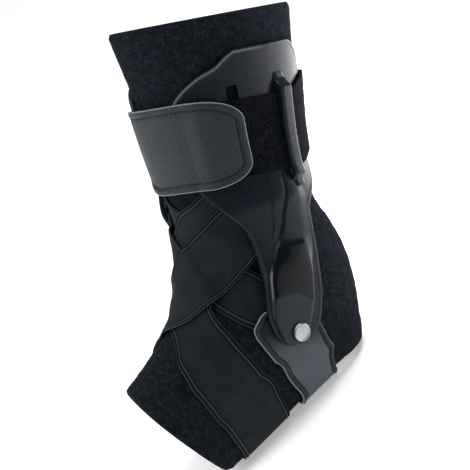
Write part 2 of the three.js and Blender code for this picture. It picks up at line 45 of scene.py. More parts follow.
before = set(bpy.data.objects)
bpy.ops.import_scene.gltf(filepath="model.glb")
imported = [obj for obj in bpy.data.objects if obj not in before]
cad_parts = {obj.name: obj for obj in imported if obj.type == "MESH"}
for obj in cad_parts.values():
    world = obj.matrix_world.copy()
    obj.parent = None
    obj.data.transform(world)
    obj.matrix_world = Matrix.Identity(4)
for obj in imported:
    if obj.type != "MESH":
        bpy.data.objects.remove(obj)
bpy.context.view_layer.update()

# Sections of the sleeve's outer form from the top rim to the foot opening: reaches are shares of
# the foot length, heights of the brace height, half widths and shifts of the half width.
SECTION_COLUMNS = (
    "front_reach", "front_height", "back_reach", "back_height", "half_width",
    "shift", "slant", "front_squareness", "back_squareness",
)
SECTIONS = (
    (0.221, 0.999, -0.437, 0.800, 1.000, 0.000, 0.00, 2.0, 2.0),
    (0.275, 0.852, -0.312, 0.673, 0.900, 0.000, 0.00, 2.0, 2.0),
    (0.347, 0.699, -0.168, 0.524, 0.825, 0.000, 0.00, 2.0, 2.0),
    (0.410, 0.553, -0.083, 0.386, 0.757, 0.000, 0.00, 2.0, 2.0),
    (0.457, 0.489, -0.092, 0.294, 0.740, 0.000, 0.00, 2.0, 2.0),
    (0.511, 0.439, -0.090, 0.209, 0.733, 0.000, 0.05, 2.0, 2.0),
    (0.568, 0.399, -0.052, 0.130, 0.731, 0.000, 0.10, 2.0, 2.1),
    (0.637, 0.369, -0.003, 0.066, 0.722, 0.000, 0.15, 2.1, 2.2),
    (0.704, 0.349, 0.036, 0.019, 0.712, -0.020, 0.20, 2.1, 2.5),
    (0.763, 0.340, 0.080, 0.000, 0.700, -0.040, 0.24, 2.2, 2.8),
    (0.827, 0.327, 0.253, 0.000, 0.708, -0.065, 0.30, 2.2, 2.8),
    (0.883, 0.314, 0.450, 0.000, 0.728, -0.095, 0.34, 2.2, 2.8),
    (1.006, 0.293, 0.839, 0.000, 0.760, -0.140, 0.41, 2.2, 2.8),
)
SOLE_RISE_START, SOLE_RISE_END = 0.755, 0.825
SURFACE_STEP = 0.004

# Edge tables: places down the sleeve are shares from rim to toes, angles are degrees from the
# front to the lateral side.
FOOT_BAND = {
    "columns": ("angle", "rear", "fore"),
    "rows": (
        (178, 0.930, 0.985), (140, 0.925, 0.981), (107, 0.895, 0.972), (89, 0.833, 0.960),
        (65, 0.750, 0.938), (51, 0.672, 0.918), (36, 0.600, 0.870), (23, 0.520, 0.795),
        (10, 0.420, 0.732), (0, 0.362, 0.695), (-15, 0.310, 0.640), (-30, 0.264, 0.560),
        (-46, 0.240, 0.466), (-62, 0.240, 0.385), (-78, 0.252, 0.355),
    ),
}
HEEL_BAND = {
    "columns": ("angle", "rear", "fore"),
    "rows": (
        (80, 0.495, 0.668), (64, 0.465, 0.642), (49, 0.420, 0.608), (37, 0.380, 0.578),
        (20, 0.308, 0.530), (2, 0.252, 0.475), (-16, 0.234, 0.425), (-34, 0.218, 0.392),
        (-52, 0.226, 0.370), (-78, 0.246, 0.360),
    ),
}
PLATE = {
    "columns": ("along", "fore", "rear"),
    "rows": (
        (0.0500, 74, 121), (0.0540, 70, 125), (0.0610, 65, 130), (0.0680, 60, 133),
        (0.0750, 50, 135), (0.0820, 43, 137), (0.0900, 36, 138), (0.1030, 28, 139),
        (0.1250, 24, 140), (0.1600, 23, 140), (0.1950, 24.5, 138), (0.2170, 29.5, 130),
        (0.2470, 41, 114), (0.2700, 48, 106.5), (0.2950, 52, 103), (0.3300, 54.5, 100),
        (0.3700, 56.5, 98), (0.4500, 60, 97), (0.5350, 64.5, 98), (0.6050, 69.5, 97.5),
        (0.6500, 74.5, 94.5), (0.6800, 78.5, 92.5), (0.6980, 81.5, 90.5), (0.7100, 84, 89.5),
        (0.7180, 86, 88.5),
    ),
}
POD = {
    "columns": ("along", "fore", "rear"),
    "rows": (
        (0.0500, 99, 109), (0.2150, 92.5, 108), (0.2700, 82.5, 104), (0.3300, 75, 98.5),
        (0.3550, 71.5, 96.5), (0.3850, 68, 94.8), (0.4220, 65, 93.5), (0.4750, 64, 93),
        (0.5400, 66.8, 93.8), (0.6050, 70.7, 93), (0.6500, 75.5, 92.5), (0.6800, 79.5, 91),
        (0.6980, 82.5, 89.7), (0.7110, 84.8, 88.7), (0.7180, 86.5, 88.2),
    ),
}
# How far the rib and pod stand out, from the strap's bar down, as shares of the pod's rise.
POD_RELIEF = {
    "columns": ("along", "rise"),
    "rows": (
        (0.200, 0.0), (0.222, 0.35), (0.300, 0.40), (0.350, 0.45), (0.380, 0.70), (0.430, 1.0),
        (0.520, 1.08), (0.600, 1.0), (0.672, 0.92), (0.692, 0.75), (0.710, 0.3), (0.718, 0.0),
    ),
}
STIRRUP = {
    "columns": ("fore_along", "fore_angle", "rear_along", "rear_angle"),
    "rows": (
        (0.570, 72, 0.578, 97.5), (0.582, 66, 0.594, 98.5), (0.615, 64, 0.612, 99.5),
        (0.652, 64, 0.635, 101.5), (0.705, 70, 0.665, 104), (0.754, 78.5, 0.697, 106.5),
        (0.793, 88.5, 0.730, 110), (0.843, 101, 0.768, 116), (0.874, 115, 0.797, 129),
        (0.898, 137, 0.815, 148), (0.911, 158, 0.826, 163), (0.912, 180, 0.830, 180),
    ),
}

STRAP_TOP, STRAP_BOTTOM = 0.112, 0.206
STRAP_RISE, STRAP_RISE_START, STRAP_RISE_END = 0.020, 72, 30
EDGE_LIFT = 0.024
LOOP_LATERAL_END, LOOP_MEDIAL_END = 50, 292
TAB_MEDIAL_END, TAB_TIP, TAB_ROUNDING = -95, 72, 34
TAB_TOP, TAB_BOTTOM, TAB_END_SHARE = 0.105, 0.215, 0.45
TAB_STEP_START, TAB_STEP_END = 6, 20
STRAP_DROP_START, STRAP_DROP_END = 8, 28
BAR_ANGLE, BAR_CHAMFER = 105.5, 0.0013
RIVET_ALONG, RIVET_ANGLE = 0.644, 87
SLOT_ALONG, SLOT_ANGLE = 0.107, 68.5
BAND_STACK = 2.55
PLATE_LIFT_START, PLATE_LIFT_END = 0.190, 0.255
POD_LIFT_START, POD_LIFT_END = 0.42, 0.56
STIRRUP_DROP_START, STIRRUP_DROP_END = 0.70, 0.78
# Finer marks: pitches in metres, and where the pod's polish, its V and its disc lie down the plate.
CORD_PITCH, WEAVE_PITCH = 0.0025, 0.0013
LEATHER_GLOSS = {"Tab leather": 0.25, "Stirrup leather": 0.14}
POLISH_START, POLISH_END = 0.355, 0.375
V_SHOULDER, V_DEPTH, V_BLUR = 0.545, 0.030, 0.004
DISC_START, DISC_END = 0.532, 0.548
# Sockets of the shader editor's Mix node for colours, which share their names with others.
MIX_FIRST, MIX_SECOND, MIX_RESULT = 6, 7, 2
# Columns and rows of the sheets' grids, and how much the columns crowd to the sides.
GRIDS = {
    "sleeve": (180, 190, 0.0), "heel_band": (64, 90, 0.8), "foot_band": (64, 150, 0.8),
    "stirrup": (44, 220, 0.7), "strap": (44, 190, 0.6),
}
# Radius of each sheet's rounded edges, as a share of its thickness.
EDGE_ROUNDING = {"band": 0.46, "stirrup": 0.45, "strap": 0.46, "tab": 0.25}
BAND_BESIDE, BAND_RAMP = 0.024, 0.100
BAND_BESIDE_ANGLE, BAND_RAMP_ANGLE = 4, 10

# Camera: bearings of the photograph's view, and its distance, lens and aim.
VIEW_AZIMUTH, VIEW_ELEVATION, VIEW_ROLL = 60.0, 18.5, -32.7
VIEW_DISTANCE = 1.4
VIEW_LENS = 186.0
VIEW_AIM = (0.0, 0.0116, 0.095)
VIEW_SIDESTEP = 0.00576


def length(name, millimetres, description):
    """Property for a length, given in millimetres."""
    return FloatProperty(
        name=name, default=millimetres / 1000, unit="LENGTH", precision=5, description=description
    )


def srgb(hex_colour):
    """Linear colour of an sRGB hex value."""
    channels = [int(hex_colour[i:i + 2], 16) / 255 for i in (1, 3, 5)]
    return [c / 12.92 if c <= 0.04045 else ((c + 0.055) / 1.055) ** 2.4 for c in channels]


def colour(name, hex_colour, description):
    """Property for a colour, given as an sRGB hex value."""
    return FloatVectorProperty(
        name=name, subtype="COLOR", size=3, min=0, max=1, default=srgb(hex_colour),
        description=description,
    )


class BraceSizes(bpy.types.PropertyGroup):
    """Sizes of the brace's pieces."""

    brace_height: length("Brace height", 235, "Floor to the front of the top rim")
    foot_length: length("Foot length", 150, "Heel datum to the top of the foot opening")
    half_width: length("Half width", 49, "Half the outer width at the top rim")
    sleeve_wall: length("Sleeve wall", 3.6, "Thickness of the padded knit")
    elastic_thickness: length("Elastic", 1.1, "Thickness of the elastic bands")
    leather_thickness: length("Leather", 1.8, "Thickness of stirrup and tab")
    loop_thickness: length("Loop band", 1.5, "Thickness of the calf strap")
    plate_thickness: length("Plate", 2, "Thickness of the uprights")
    layer_gap: length("Layer gap", 0.6, "Clearance between layers")
    band_gap: length("Band gap", 0.95, "Clearance between crossing bands")
    strap_gap: length("Strap gap", 0.85, "Clearance between calf strap and plates")
    pod_rise: length("Pod rise", 3.2, "How far the ankle pod stands out")
    bar_width: length("Bar width", 8.5, "Width of the bar over the calf strap")
    bar_thickness: length("Bar thickness", 3, "Thickness of the bar")
    bar_clearance: length("Bar clearance", 2.2, "Between the bar's ramps and the strap")
    bar_ramp: length("Bar ramp", 6, "Length over which the bar climbs onto the strap")
    bar_seat: length("Bar seat", 3.5, "Length of the bar on the plate")
    slot_width: length("Slot width", 6.3, "Width of the plate's window")
    slot_height: length("Slot height", 12, "Height of the plate's window")
    rivet_diameter: length("Rivet head", 11, "Diameter of a rivet's head")
    rivet_rise: length("Rivet rise", 1.6, "Height of a rivet's head")
    rivet_clearance: length("Rivet clearance", 0.4, "Between the head and the pod")
    heel_hole_length: length("Heel hole length", 44, "Length of the opening under the heel")
    heel_hole_width: length("Heel hole width", 42, "Width of the opening under the heel")
    heel_hole_setback: length("Heel hole setback", 37, "Heel datum to the hole's middle")
    rim_radius: length("Rim radius", 1.5, "Rounding of the sleeve's rims")
    nap_depth: length("Nap depth", 0.32, "Depth of the dimples in the knit")
    nap_pitch: length("Nap pitch", 5.5, "Distance between the dimples in the knit")
    rim_bead: length("Rim bead", 0.25, "Height of the bead along a plate's rim")
    border_ridge: length("Border ridge", 0.3, "Height of the elastic's border cords")
    stitch_inset: length("Stitch inset", 4.4, "Distance of the tab's seam from its edge")
    hem_inset: length("Hem inset", 3.4, "Distance of the stirrup's seam from its edge")
    stitch_pitch: length("Stitch pitch", 2.7, "Distance from stitch to stitch")
    stitch_length: length("Stitch length", 2.1, "Visible length of one stitch")
    thread: length("Thread", 0.34, "Radius of the sewing thread")


class BraceColours(bpy.types.PropertyGroup):
    """Colours of the brace and the studio."""

    knit: colour("Knit", "#10141a", "Fleecy knit of the sleeve")
    knit_fibre: colour("Knit fibre", "#3b414d", "Lighter fibre ends of the knit")
    elastic: colour("Elastic", "#0d1217", "Elastic bands")
    elastic_rib: colour("Elastic rib", "#252b32", "Raised ribs of the elastic bands")
    # Painted highlight on the bands' border cords.
    elastic_cord_highlight: colour("Elastic cord", "#343b40", "Cords along the bands' borders")
    leather: colour("Leather", "#1a2126", "Coated leather of the tab")
    leather_worn: colour("Worn leather", "#293036", "Lighter grain of the leather")
    # Lighter cut edge; the line it paints along the rounded rim is partly a painted highlight.
    leather_edge_and_highlight: colour("Leather edge", "#7c848a", "Cut edge of the leather")
    loop: colour("Loop", "#070a0f", "Loop band")
    loop_speck: colour("Loop speck", "#323a46", "Lighter loops of the loop band")
    plastic: colour("Plastic", "#11171f", "Moulded uprights")
    # Painted reflection: the polished face is painted darker and the matt disc lighter.
    plastic_polished_painted_reflection: colour("Polished plastic", "#05090e", "Polished face of the pod")
    plastic_matt_painted_reflection: colour("Matt plastic", "#252a2e", "Matt disc round the rivet")
    # Painted highlight along the plate's rim bead, brightest on the calf wing.
    plastic_bead_highlight: colour("Plate rim", "#59616a", "Painted highlight on the bead along the calf wing")
    nickel: colour("Nickel", "#94989a", "Rivets")
    # Also painted into the elastic's border grooves as painted shade.
    thread: colour("Thread", "#050607", "Sewing thread")
    leather_margin: colour("Leather margin", "#1e2327", "Margin between seam and edge")
    # Painted sheen on the stirrup where it turns under the heel.
    leather_painted_sheen: colour("Painted leather sheen", "#4a5157", "Painted sheen where the leather turns under the heel")
    stirrup: colour("Stirrup", "#0d1116", "Smooth coated leather of the stirrup")
    stirrup_worn: colour("Worn stirrup", "#181e23", "Lighter parts of the stirrup")
    floor: colour("Floor", "#f4f4f4", "Studio floor")


def sizes():
    """The scene's sizes."""
    return bpy.context.scene.brace_sizes


def colours():
    """The scene's colours."""
    return bpy.context.scene.brace_colours


# The form and the layers on it

def smoothstep(value, start, end):
    """Smooth step from 0 to 1 between two values."""
    t = np.clip((value - start) / (end - start), 0, 1)
    return t * t * (3 - 2 * t)


def curve(rows, share):
    """All columns of evenly spaced rows on a smooth curve, at shares of the way down them."""
    rows = np.asarray(rows, float)
    last = len(rows) - 1
    place = np.clip(share, 0, 1) * last
    index = np.minimum(place.astype(int), last - 1)
    t = (place - index)[..., None]
    ends = np.vstack([2 * rows[0] - rows[1], rows, 2 * rows[-1] - rows[-2]])
    p0, p1, p2, p3 = (ends[index + k] for k in range(4))
    return 0.5 * (2 * p1 + (p2 - p0) * t + (2 * p0 - 5 * p1 + 4 * p2 - p3) * t ** 2
                  + (3 * p1 - p0 - 3 * p2 + p3) * t ** 3)


def edge(table, name, key):
    """Column of an edge table at keys of its first column, on a smooth curve."""
    rows = np.asarray(table["rows"], float)
    if rows[0, 0] > rows[-1, 0]:
        rows = rows[::-1]
    keys, values = rows[:, 0], rows[:, table["columns"].index(name)]
    key = np.clip(key, keys[0], keys[-1])
    index = np.clip(np.searchsorted(keys, key, side="right") - 1, 0, len(keys) - 2)
    before = np.maximum(np.arange(len(keys)) - 1, 0)
    after = np.minimum(np.arange(len(keys)) + 1, len(keys) - 1)
    slope = (values[after] - values[before]) / (keys[after] - keys[before])
    span = keys[index + 1] - keys[index]
    t = (key - keys[index]) / span
    ease = t * t * (3 - 2 * t)
    return (values[index] * (1 - ease) + values[index + 1] * ease
            + span * t * (1 - t) * (slope[index] * (1 - t) - slope[index + 1] * t))


def squared(value, squareness):
    """Signed power that turns a circle into a squarer ring."""
    return np.sign(value) * np.abs(value) ** (2 / squareness)


def heel_datum():
    """Y of the heel, which the reaches are measured from."""
    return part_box("sleeve")[1].y + SECTIONS[0][2] * sizes().foot_length


def form_point(along, angle):
    """Points of the sleeve's outer form in the frame, in metres."""
    size = sizes()
    column = dict(zip(SECTION_COLUMNS, np.moveaxis(curve(SECTIONS, along), -1, 0)))
    turn = np.radians(angle)
    ahead = np.cos(turn)
    squareness = np.where(ahead >= 0, column["front_squareness"], column["back_squareness"])
    depth = squared(ahead, squareness)
    side = squared(np.sin(turn), squareness) * column["half_width"]
    middle = (column["front_reach"] + column["back_reach"]) / 2
    swing = (column["front_reach"] - column["back_reach"]) / 2
    reach = size.foot_length * (middle + swing * depth) + column["slant"] * size.half_width * side
    height = size.brace_height * ((column["front_height"] + column["back_height"]) / 2
                                  + (column["front_height"] - column["back_height"]) / 2 * depth)
    sole = (size.leather_thickness + size.layer_gap) * smoothstep(
        along, SOLE_RISE_START, SOLE_RISE_END)
    x = size.half_width * (column["shift"] + side)
    return np.stack([x, heel_datum() - reach, np.maximum(height, sole)], axis=-1)


def unit(vectors):
    """Vectors of length 1."""
    return vectors / np.maximum(np.linalg.norm(vectors, axis=-1, keepdims=True), 1e-12)


def form_normal(along, angle):
    """Outward normals of the sleeve's outer form."""
    down = form_point(np.minimum(along + SURFACE_STEP, 1), angle)
    down = down - form_point(np.maximum(along - SURFACE_STEP, 0), angle)
    around = form_point(along, angle + 1) - form_point(along, angle - 1)
    return unit(np.cross(down, around))


def layer_point(along, angle, height):
    """Points at a height above the sleeve, never below the floor."""
    points = form_point(along, angle) + form_normal(along, angle) * np.asarray(height)[..., None]
    points[..., 2] = np.maximum(points[..., 2], 0)
    return points


def along_share(distance, along, angle):
    """Share of the way down the sleeve that a distance takes up at a place."""
    step = np.array([along - SURFACE_STEP, along + SURFACE_STEP])
    above, below = form_point(step, np.full(2, float(angle)))
    return distance * 2 * SURFACE_STEP / np.linalg.norm(above - below)


def angle_share(distance, along, angle):
    """Degrees round the sleeve that a distance takes up at a place."""
    first, second = form_point(np.full(2, along), np.array([angle - 1.0, angle + 1.0]))
    return distance * 2 / np.linalg.norm(first - second)


BANDS = {
    "heel_band_lateral": (HEEL_BAND, 1, ()),
    "heel_band_medial": (HEEL_BAND, -1, ("heel_band_lateral",)),
    "foot_band_lateral": (FOOT_BAND, 1, ("heel_band_lateral", "heel_band_medial")),
    "foot_band_medial": (
        FOOT_BAND, -1, ("heel_band_lateral", "heel_band_medial", "foot_band_lateral")),
}


def coverage(name, along, angle):
    """How fully a band covers a place: 1 on it, falling to 0 over the ramp beside it."""
    table, side, _ = BANDS[name]
    own = side * np.where(angle > 180, angle - 360, angle)
    in_ends = np.minimum(table["rows"][0][0] - own, own - table["rows"][-1][0])
    in_edges = np.minimum(along - edge(table, "rear", own), edge(table, "fore", own) - along)
    return (smoothstep(in_edges, -BAND_BESIDE - BAND_RAMP, -BAND_BESIDE)
            * smoothstep(in_ends, -BAND_BESIDE_ANGLE - BAND_RAMP_ANGLE, -BAND_BESIDE_ANGLE))


def band_level(name, along, angle):
    """Number of bands under a band at a place, ramped beside their edges."""
    level = np.zeros_like(along)
    for other in BANDS[name][2]:
        under = coverage(other, along, angle) * (1 + band_level(other, along, angle))
        level = np.maximum(level, under)
    return level


def plate_height(along):
    """Height of an upright's underside above the sleeve."""
    size = sizes()
    plate_lift = BAND_STACK * (size.elastic_thickness + size.band_gap)
    pod_lift = size.elastic_thickness + size.leather_thickness + 2 * size.layer_gap
    return (size.layer_gap + plate_lift * smoothstep(along, PLATE_LIFT_START, PLATE_LIFT_END)
            + (pod_lift - plate_lift) * smoothstep(along, POD_LIFT_START, POD_LIFT_END))


def strap_height(along, angle):
    """Height of the calf strap's underside: on the plates, and down on the sleeve behind."""
    size = sizes()
    from_back = np.abs(180 - (angle + 360) % 360)
    on_plates = smoothstep(from_back, STRAP_DROP_START, STRAP_DROP_END)
    lift = plate_height(along) + size.plate_thickness + size.strap_gap - size.layer_gap
    return size.layer_gap + on_plates * lift


def edge_lift(angle):
    """How far the strap's lower edge is drawn up, most of all beside the medial upright."""
    medial = (360 - angle) % 360
    lift = smoothstep(medial, 5, 60) * (1 - smoothstep(medial, 100, 150))
    return EDGE_LIFT * np.where(medial > 180, 0, lift)


# Mesh building

def shares(count, crowding=0.0):
    """Even shares from 0 to 1, crowded towards both ends."""
    x = np.linspace(0, 1, count + 1)
    return x - crowding * np.sin(2 * math.pi * x) / (2 * math.pi)


def grid(name):
    """Shares across and along a named grid."""
    columns, rows, crowding = GRIDS[name]
    return shares(columns, crowding), shares(rows)


def run(points, axis):
    """Distance walked along one axis of a grid of points."""
    steps = np.linalg.norm(np.diff(points, axis=axis), axis=-1)
    start = np.zeros_like(np.take(steps, [0], axis=axis))
    return np.concatenate([start, np.cumsum(steps, axis=axis)], axis=axis)


def rim_distance(points):
    """Distance of each point of a grid to the grid's outline."""
    outline = np.concatenate([
        points[0, :-1], points[:-1, -1], points[-1, :0:-1], points[:0:-1, 0]])
    start, way = outline, np.roll(outline, -1, axis=0) - outline
    flat = points.reshape(-1, 3)
    found = []
    for part in np.array_split(flat, max(1, len(flat) // 1500)):
        gap = part[:, None] - start[None]
        t = np.clip((gap * way).sum(-1) / np.maximum((way ** 2).sum(-1), 1e-18), 0, 1)
        found.append(np.linalg.norm(gap - t[..., None] * way, axis=-1).min(axis=1))
    return np.concatenate(found).reshape(points.shape[:2])


def edge_drop(distance, radius):
    """How far a rounded edge falls away, at a distance inside the outline."""
    inside = np.clip(1 - distance / radius, 0, 1)
    return radius * (1 - np.sqrt(np.maximum(1 - inside ** 2, 0)))


def bump(distance, centre, width):
    """Smooth ridge across a line."""
    return np.exp(-((distance - centre) / width) ** 2)


def noise_over(points, *octaves):
    """Sum of noises over a grid of points, each with its pitch and weight."""
    values = [sum(weight * noise.noise(Vector(point) / pitch) for pitch, weight in octaves)
              for point in points.reshape(-1, 3)]
    return np.array(values).reshape(points.shape[:2])


class Sheet:
    """Grid of places on the form, with the distances that its profile is made of."""

    def __init__(self, u, v, place):
        self.u, self.v = np.meshgrid(u, v)
        self.along, self.angle = place(self.u, self.v)
        self.base = layer_point(self.along, self.angle, np.zeros_like(self.along))
        self.across, self.down = run(self.base, 1), run(self.base, 0)

    def points(self, height):
        """The grid's points at a height above the form."""
        return layer_point(self.along, self.angle, height)

    def side_gap(self):
        """Distance to the nearer of the grid's long sides."""
        return np.minimum(self.across, self.across[:, -1:] - self.across)

    def flat(self, width=np.mean):
        """Width and length of the sheet as it lies on the form."""
        return float(width(self.across[:, -1])), float(self.down[-1].mean())


def slab_mesh(sheet, low, high, hole=None, ring=False, attributes=None):
    """Bmesh of a closed slab between two heights over a sheet's grid."""
    rows, columns = sheet.u.shape
    inner, outer = sheet.points(low), sheet.points(high)
    bm = bmesh.new()
    bmesh.ops.create_grid(bm, x_segments=columns - 1, y_segments=rows - 1, size=0.5)
    column_of = bm.verts.layers.int.new("column")
    row_of = bm.verts.layers.int.new("row")
    for vert in bm.verts:
        vert[column_of] = round((vert.co.x + 0.5) * (columns - 1))
        vert[row_of] = round((vert.co.y + 0.5) * (rows - 1))
    if hole is not None:
        doomed = [face for face in bm.faces if hole[
            min(vert[row_of] for vert in face.verts), min(vert[column_of] for vert in face.verts)]]
        bmesh.ops.delete(bm, geom=doomed, context="FACES")
    for vert in bm.verts:
        vert.co = inner[vert[row_of], vert[column_of]]
    if ring:
        bmesh.ops.remove_doubles(bm, verts=bm.verts[:], dist=1e-7)
    grown = bmesh.ops.extrude_face_region(bm, geom=bm.faces[:])["geom"]
    raised = {item for item in grown if isinstance(item, bmesh.types.BMVert)}
    for vert in raised:
        vert.co = outer[vert[row_of], vert[column_of]]
    uv = bm.loops.layers.uv.new("UVMap")
    mid = columns // 2
    for face in bm.faces:
        count = sum(vert in raised for vert in face.verts)
        face.material_index = 1 if 0 < count < len(face.verts) else 0
        for loop in face.loops:
            j, i = loop.vert[row_of], loop.vert[column_of]
            loop[uv].uv = (sheet.across[j, i] - sheet.across[j, mid], sheet.down[j, mid])
    for name, grid in (attributes or {}).items():
        layer = bm.verts.layers.float.new(name)
        for vert in bm.verts:
            vert[layer] = float(grid[vert[row_of], vert[column_of]])
    face_outward(bm)
    return bm


def face_outward(bm):
    """Turns a closed bmesh's faces outward."""
    if bm.calc_volume(signed=True) < 0:
        bmesh.ops.reverse_faces(bm, faces=bm.faces[:])


def finish_piece(name, bm, materials, node, bevel=None):
    """Object of a finished bmesh that rides on the frame and stands for a CAD node."""
    mesh = bpy.data.meshes.new(name)
    for face in bm.faces:
        face.smooth = True
        face.material_index = min(face.material_index, len(materials) - 1)
    bm.to_mesh(mesh)
    bm.free()
    for material in materials:
        mesh.materials.append(material)
    piece = bpy.data.objects.new(name, mesh)
    bpy.context.collection.objects.link(piece)
    if bevel:
        modifier = piece.modifiers.new("Rounded edges", "BEVEL")
        modifier.width, modifier.segments = bevel, 2
        modifier.limit_method, modifier.angle_limit = "ANGLE", math.radians(50)
    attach(piece, "root")
    if node:
        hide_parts(node)
    return piece


def place_basis(along, angle, height):
    """Matrix at a place on the form: X round the sleeve, Y up it and Z outwards."""
    place = np.array(float(angle))
    normal = Vector(form_normal(np.array(along), place))
    base = Vector(form_point(np.array(along), place))
    up = Vector(form_point(np.array(along - SURFACE_STEP), place)) - base
    across = up.cross(normal).normalized()
    basis = Matrix((across, normal.cross(across), normal)).transposed().to_4x4()
    return Matrix.Translation(base + normal * height) @ basis


def stitch_seam(bm, path, tree, inset_way, inset):
    """Adds a row of sunk stitches beside a path on a surface."""
    size = sizes()
    line = path + inset_way * inset
    walked = np.concatenate([[0], np.cumsum(np.linalg.norm(np.diff(line, axis=0), axis=1))])
    for distance in np.arange(size.stitch_pitch, walked[-1] - size.stitch_pitch / 2,
                              size.stitch_pitch):
        here, ahead = (
            Vector([np.interp(d, walked, line[:, k]) for k in range(3)])
            for d in (distance, distance + size.stitch_length / 2))
        spot, normal, _, _ = tree.find_nearest(here)
        spot.z = max(spot.z, size.thread)
        forward = (ahead - here).normalized()
        across = normal.cross(forward).normalized()
        basis = Matrix((forward, across, normal)).transposed().to_4x4()
        scale = Matrix.Diagonal((size.stitch_length / 2, size.thread, size.thread, 1))
        matrix = Matrix.Translation(spot) @ basis @ scale
        ball = bmesh.ops.create_uvsphere(bm, u_segments=8, v_segments=5, radius=1)["verts"]
        bmesh.ops.transform(bm, matrix=matrix, verts=ball)


# Materials

def add_node(tree, kind, settings=None, links=None):
    """New shader node with its settings, and its inputs' values or links."""
    node = tree.nodes.new(kind)
    for name, value in (settings or {}).items():
        setattr(node, name, value)
    for name, value in (links or {}).items():
        socket = node.inputs[name]
        if isinstance(value, bpy.types.NodeSocket):
            tree.links.new(value, socket)
        else:
            socket.default_value = (*value, 1) if socket.type == "RGBA" else value
    return node


def cloth(roughness, specular, sheen, sheen_roughness, sheen_tint):
    """Shader constants of a napped or woven surface."""
    return {
        "Roughness": roughness, "Specular IOR Level": specular, "Sheen Weight": sheen,
        "Sheen Roughness": sheen_roughness, "Sheen Tint": srgb(sheen_tint),
    }


class Surface:
    """Material with a Principled shader, and the nodes that feed it."""

    def __init__(self, name, **constants):
        self.material = bpy.data.materials.get(name) or bpy.data.materials.new(name)
        self.material.use_nodes = True
        self.tree = self.material.node_tree
        self.tree.nodes.clear()
        self.shader = self.node("BsdfPrincipled", links=constants)
        self.node("OutputMaterial", links={"Surface": self.shader.outputs["BSDF"]})
        self.coords = self.node("TexCoord").outputs["Object"]

    def node(self, kind, settings=None, links=None):
        return add_node(self.tree, "ShaderNode" + kind, settings, links)

    def feed(self, socket, value):
        """Links a value to one of the shader's inputs."""
        self.tree.links.new(value, self.shader.inputs[socket])

    def flat(self):
        """Distances across and along the piece, from its UV map."""
        return self.node("UVMap", {"uv_map": "UVMap"}).outputs["UV"]

    def attribute(self, name):
        return self.node("Attribute", {"attribute_name": name}).outputs["Fac"]

    def noise(self, pitch, detail=3.0, roughness=0.55):
        """Noise with features a real distance apart."""
        return self.node("TexNoise", links={
            "Vector": self.coords, "Scale": 1 / pitch, "Detail": detail,
            "Roughness": roughness}).outputs["Fac"]

    def ribs(self, coords, direction, pitch, distortion):
        """Ribs a real distance apart."""
        return self.node("TexWave", {"wave_type": "BANDS", "bands_direction": direction}, {
            "Vector": coords, "Scale": math.pi / 10 / pitch, "Distortion": distortion,
            "Detail": 1.0, "Detail Scale": 2.0}).outputs["Fac"]

    def cells(self, coords, pitch, feature="F1", randomness=1.0):
        """Distance to the middle of the nearest of cells a real distance apart."""
        return self.node("TexVoronoi", {"feature": feature}, {
            "Vector": coords, "Scale": 1 / pitch, "Randomness": randomness}).outputs["Distance"]

    def mix(self, factor, first, second):
        """Two colours mixed by a factor."""
        return self.node("Mix", {"data_type": "RGBA"}, {
            "Factor": factor, MIX_FIRST: first, MIX_SECOND: second}).outputs[MIX_RESULT]

    def calc(self, operation, first, second=0.0):
        """Result of a sum of two values."""
        return self.node("Math", {"operation": operation}, {0: first, 1: second}).outputs[0]

    def times(self, first, second):
        return self.calc("MULTIPLY", first, second)

    def ramp(self, value, start, end, low=0.0, high=1.0):
        """Value mapped from a range to another, clamped."""
        return self.node("MapRange", {"clamp": True}, {
            "Value": value, "From Min": start, "From Max": end, "To Min": low,
            "To Max": high}).outputs["Result"]

    def bump(self, height, distance, strength=1.0):
        """Bump of a height over a real distance."""
        node = self.node("Bump", links={
            "Height": height, "Distance": distance, "Strength": strength})
        self.feed("Normal", node.outputs["Normal"])


def knit_material():
    """Fleecy padded knit: dark, napped, with lighter fibre ends and painted shade in its dimples.
    """
    c = colours()
    s = Surface("Fleecy knit", **cloth(1.0, 0.04, 0.05, 0.35, "#a3acbc"))
    fibre, clump = s.noise(0.0009, 5, 0.75), s.noise(0.0038, 2, 0.6)
    pits = s.cells(s.coords, 0.0034)
    tone = s.times(s.ramp(fibre, 0.44, 0.72), s.ramp(clump, 0.38, 0.62, 0.15, 1.0))
    # Painted shade: the dimples' centres are darkened.
    tone = s.times(tone, s.ramp(pits, 0.12, 0.4, 0.2, 1.0))
    s.feed("Base Color", s.mix(tone, c.knit, c.knit_fibre))
    relief = s.calc("ADD", s.times(fibre, 1.3), s.times(s.ramp(pits, 0.0, 0.4), 0.8))
    s.bump(relief, 0.0012)
    return s.material


def elastic_material():
    """Ribbed woven elastic, from the band's own lengthwise and crosswise distances."""
    c = colours()
    s = Surface("Woven elastic", **cloth(0.75, 0.14, 0.03, 0.4, "#b4bec0"))
    flat = s.flat()
    weave = s.times(*(s.ramp(s.ribs(flat, direction, WEAVE_PITCH, 0.5), 0, 1, 0.25, 1.0)
                      for direction in ("X", "Y")))
    patchy = s.noise(0.011, 3, 0.6)
    tone = s.times(weave, s.ramp(patchy, 0.35, 0.65, 0.35, 1.0))
    field = s.mix(tone, c.elastic, c.elastic_rib)
    # Border cords: the lighter cord colour is a painted highlight on the ridges, and the thread
    # colour in the grooves between them is painted shade.
    side = s.attribute("rim")
    groove = s.calc("PINGPONG", side, CORD_PITCH / 2)
    cords = s.mix(s.ramp(groove, 0.0003, 0.0006), c.elastic_cord_highlight, c.thread)
    border = s.ramp(side, 1.7 * CORD_PITCH, 1.6 * CORD_PITCH)
    s.feed("Base Color", s.mix(border, field, cords))
    s.bump(weave, 0.0004)
    return s.material


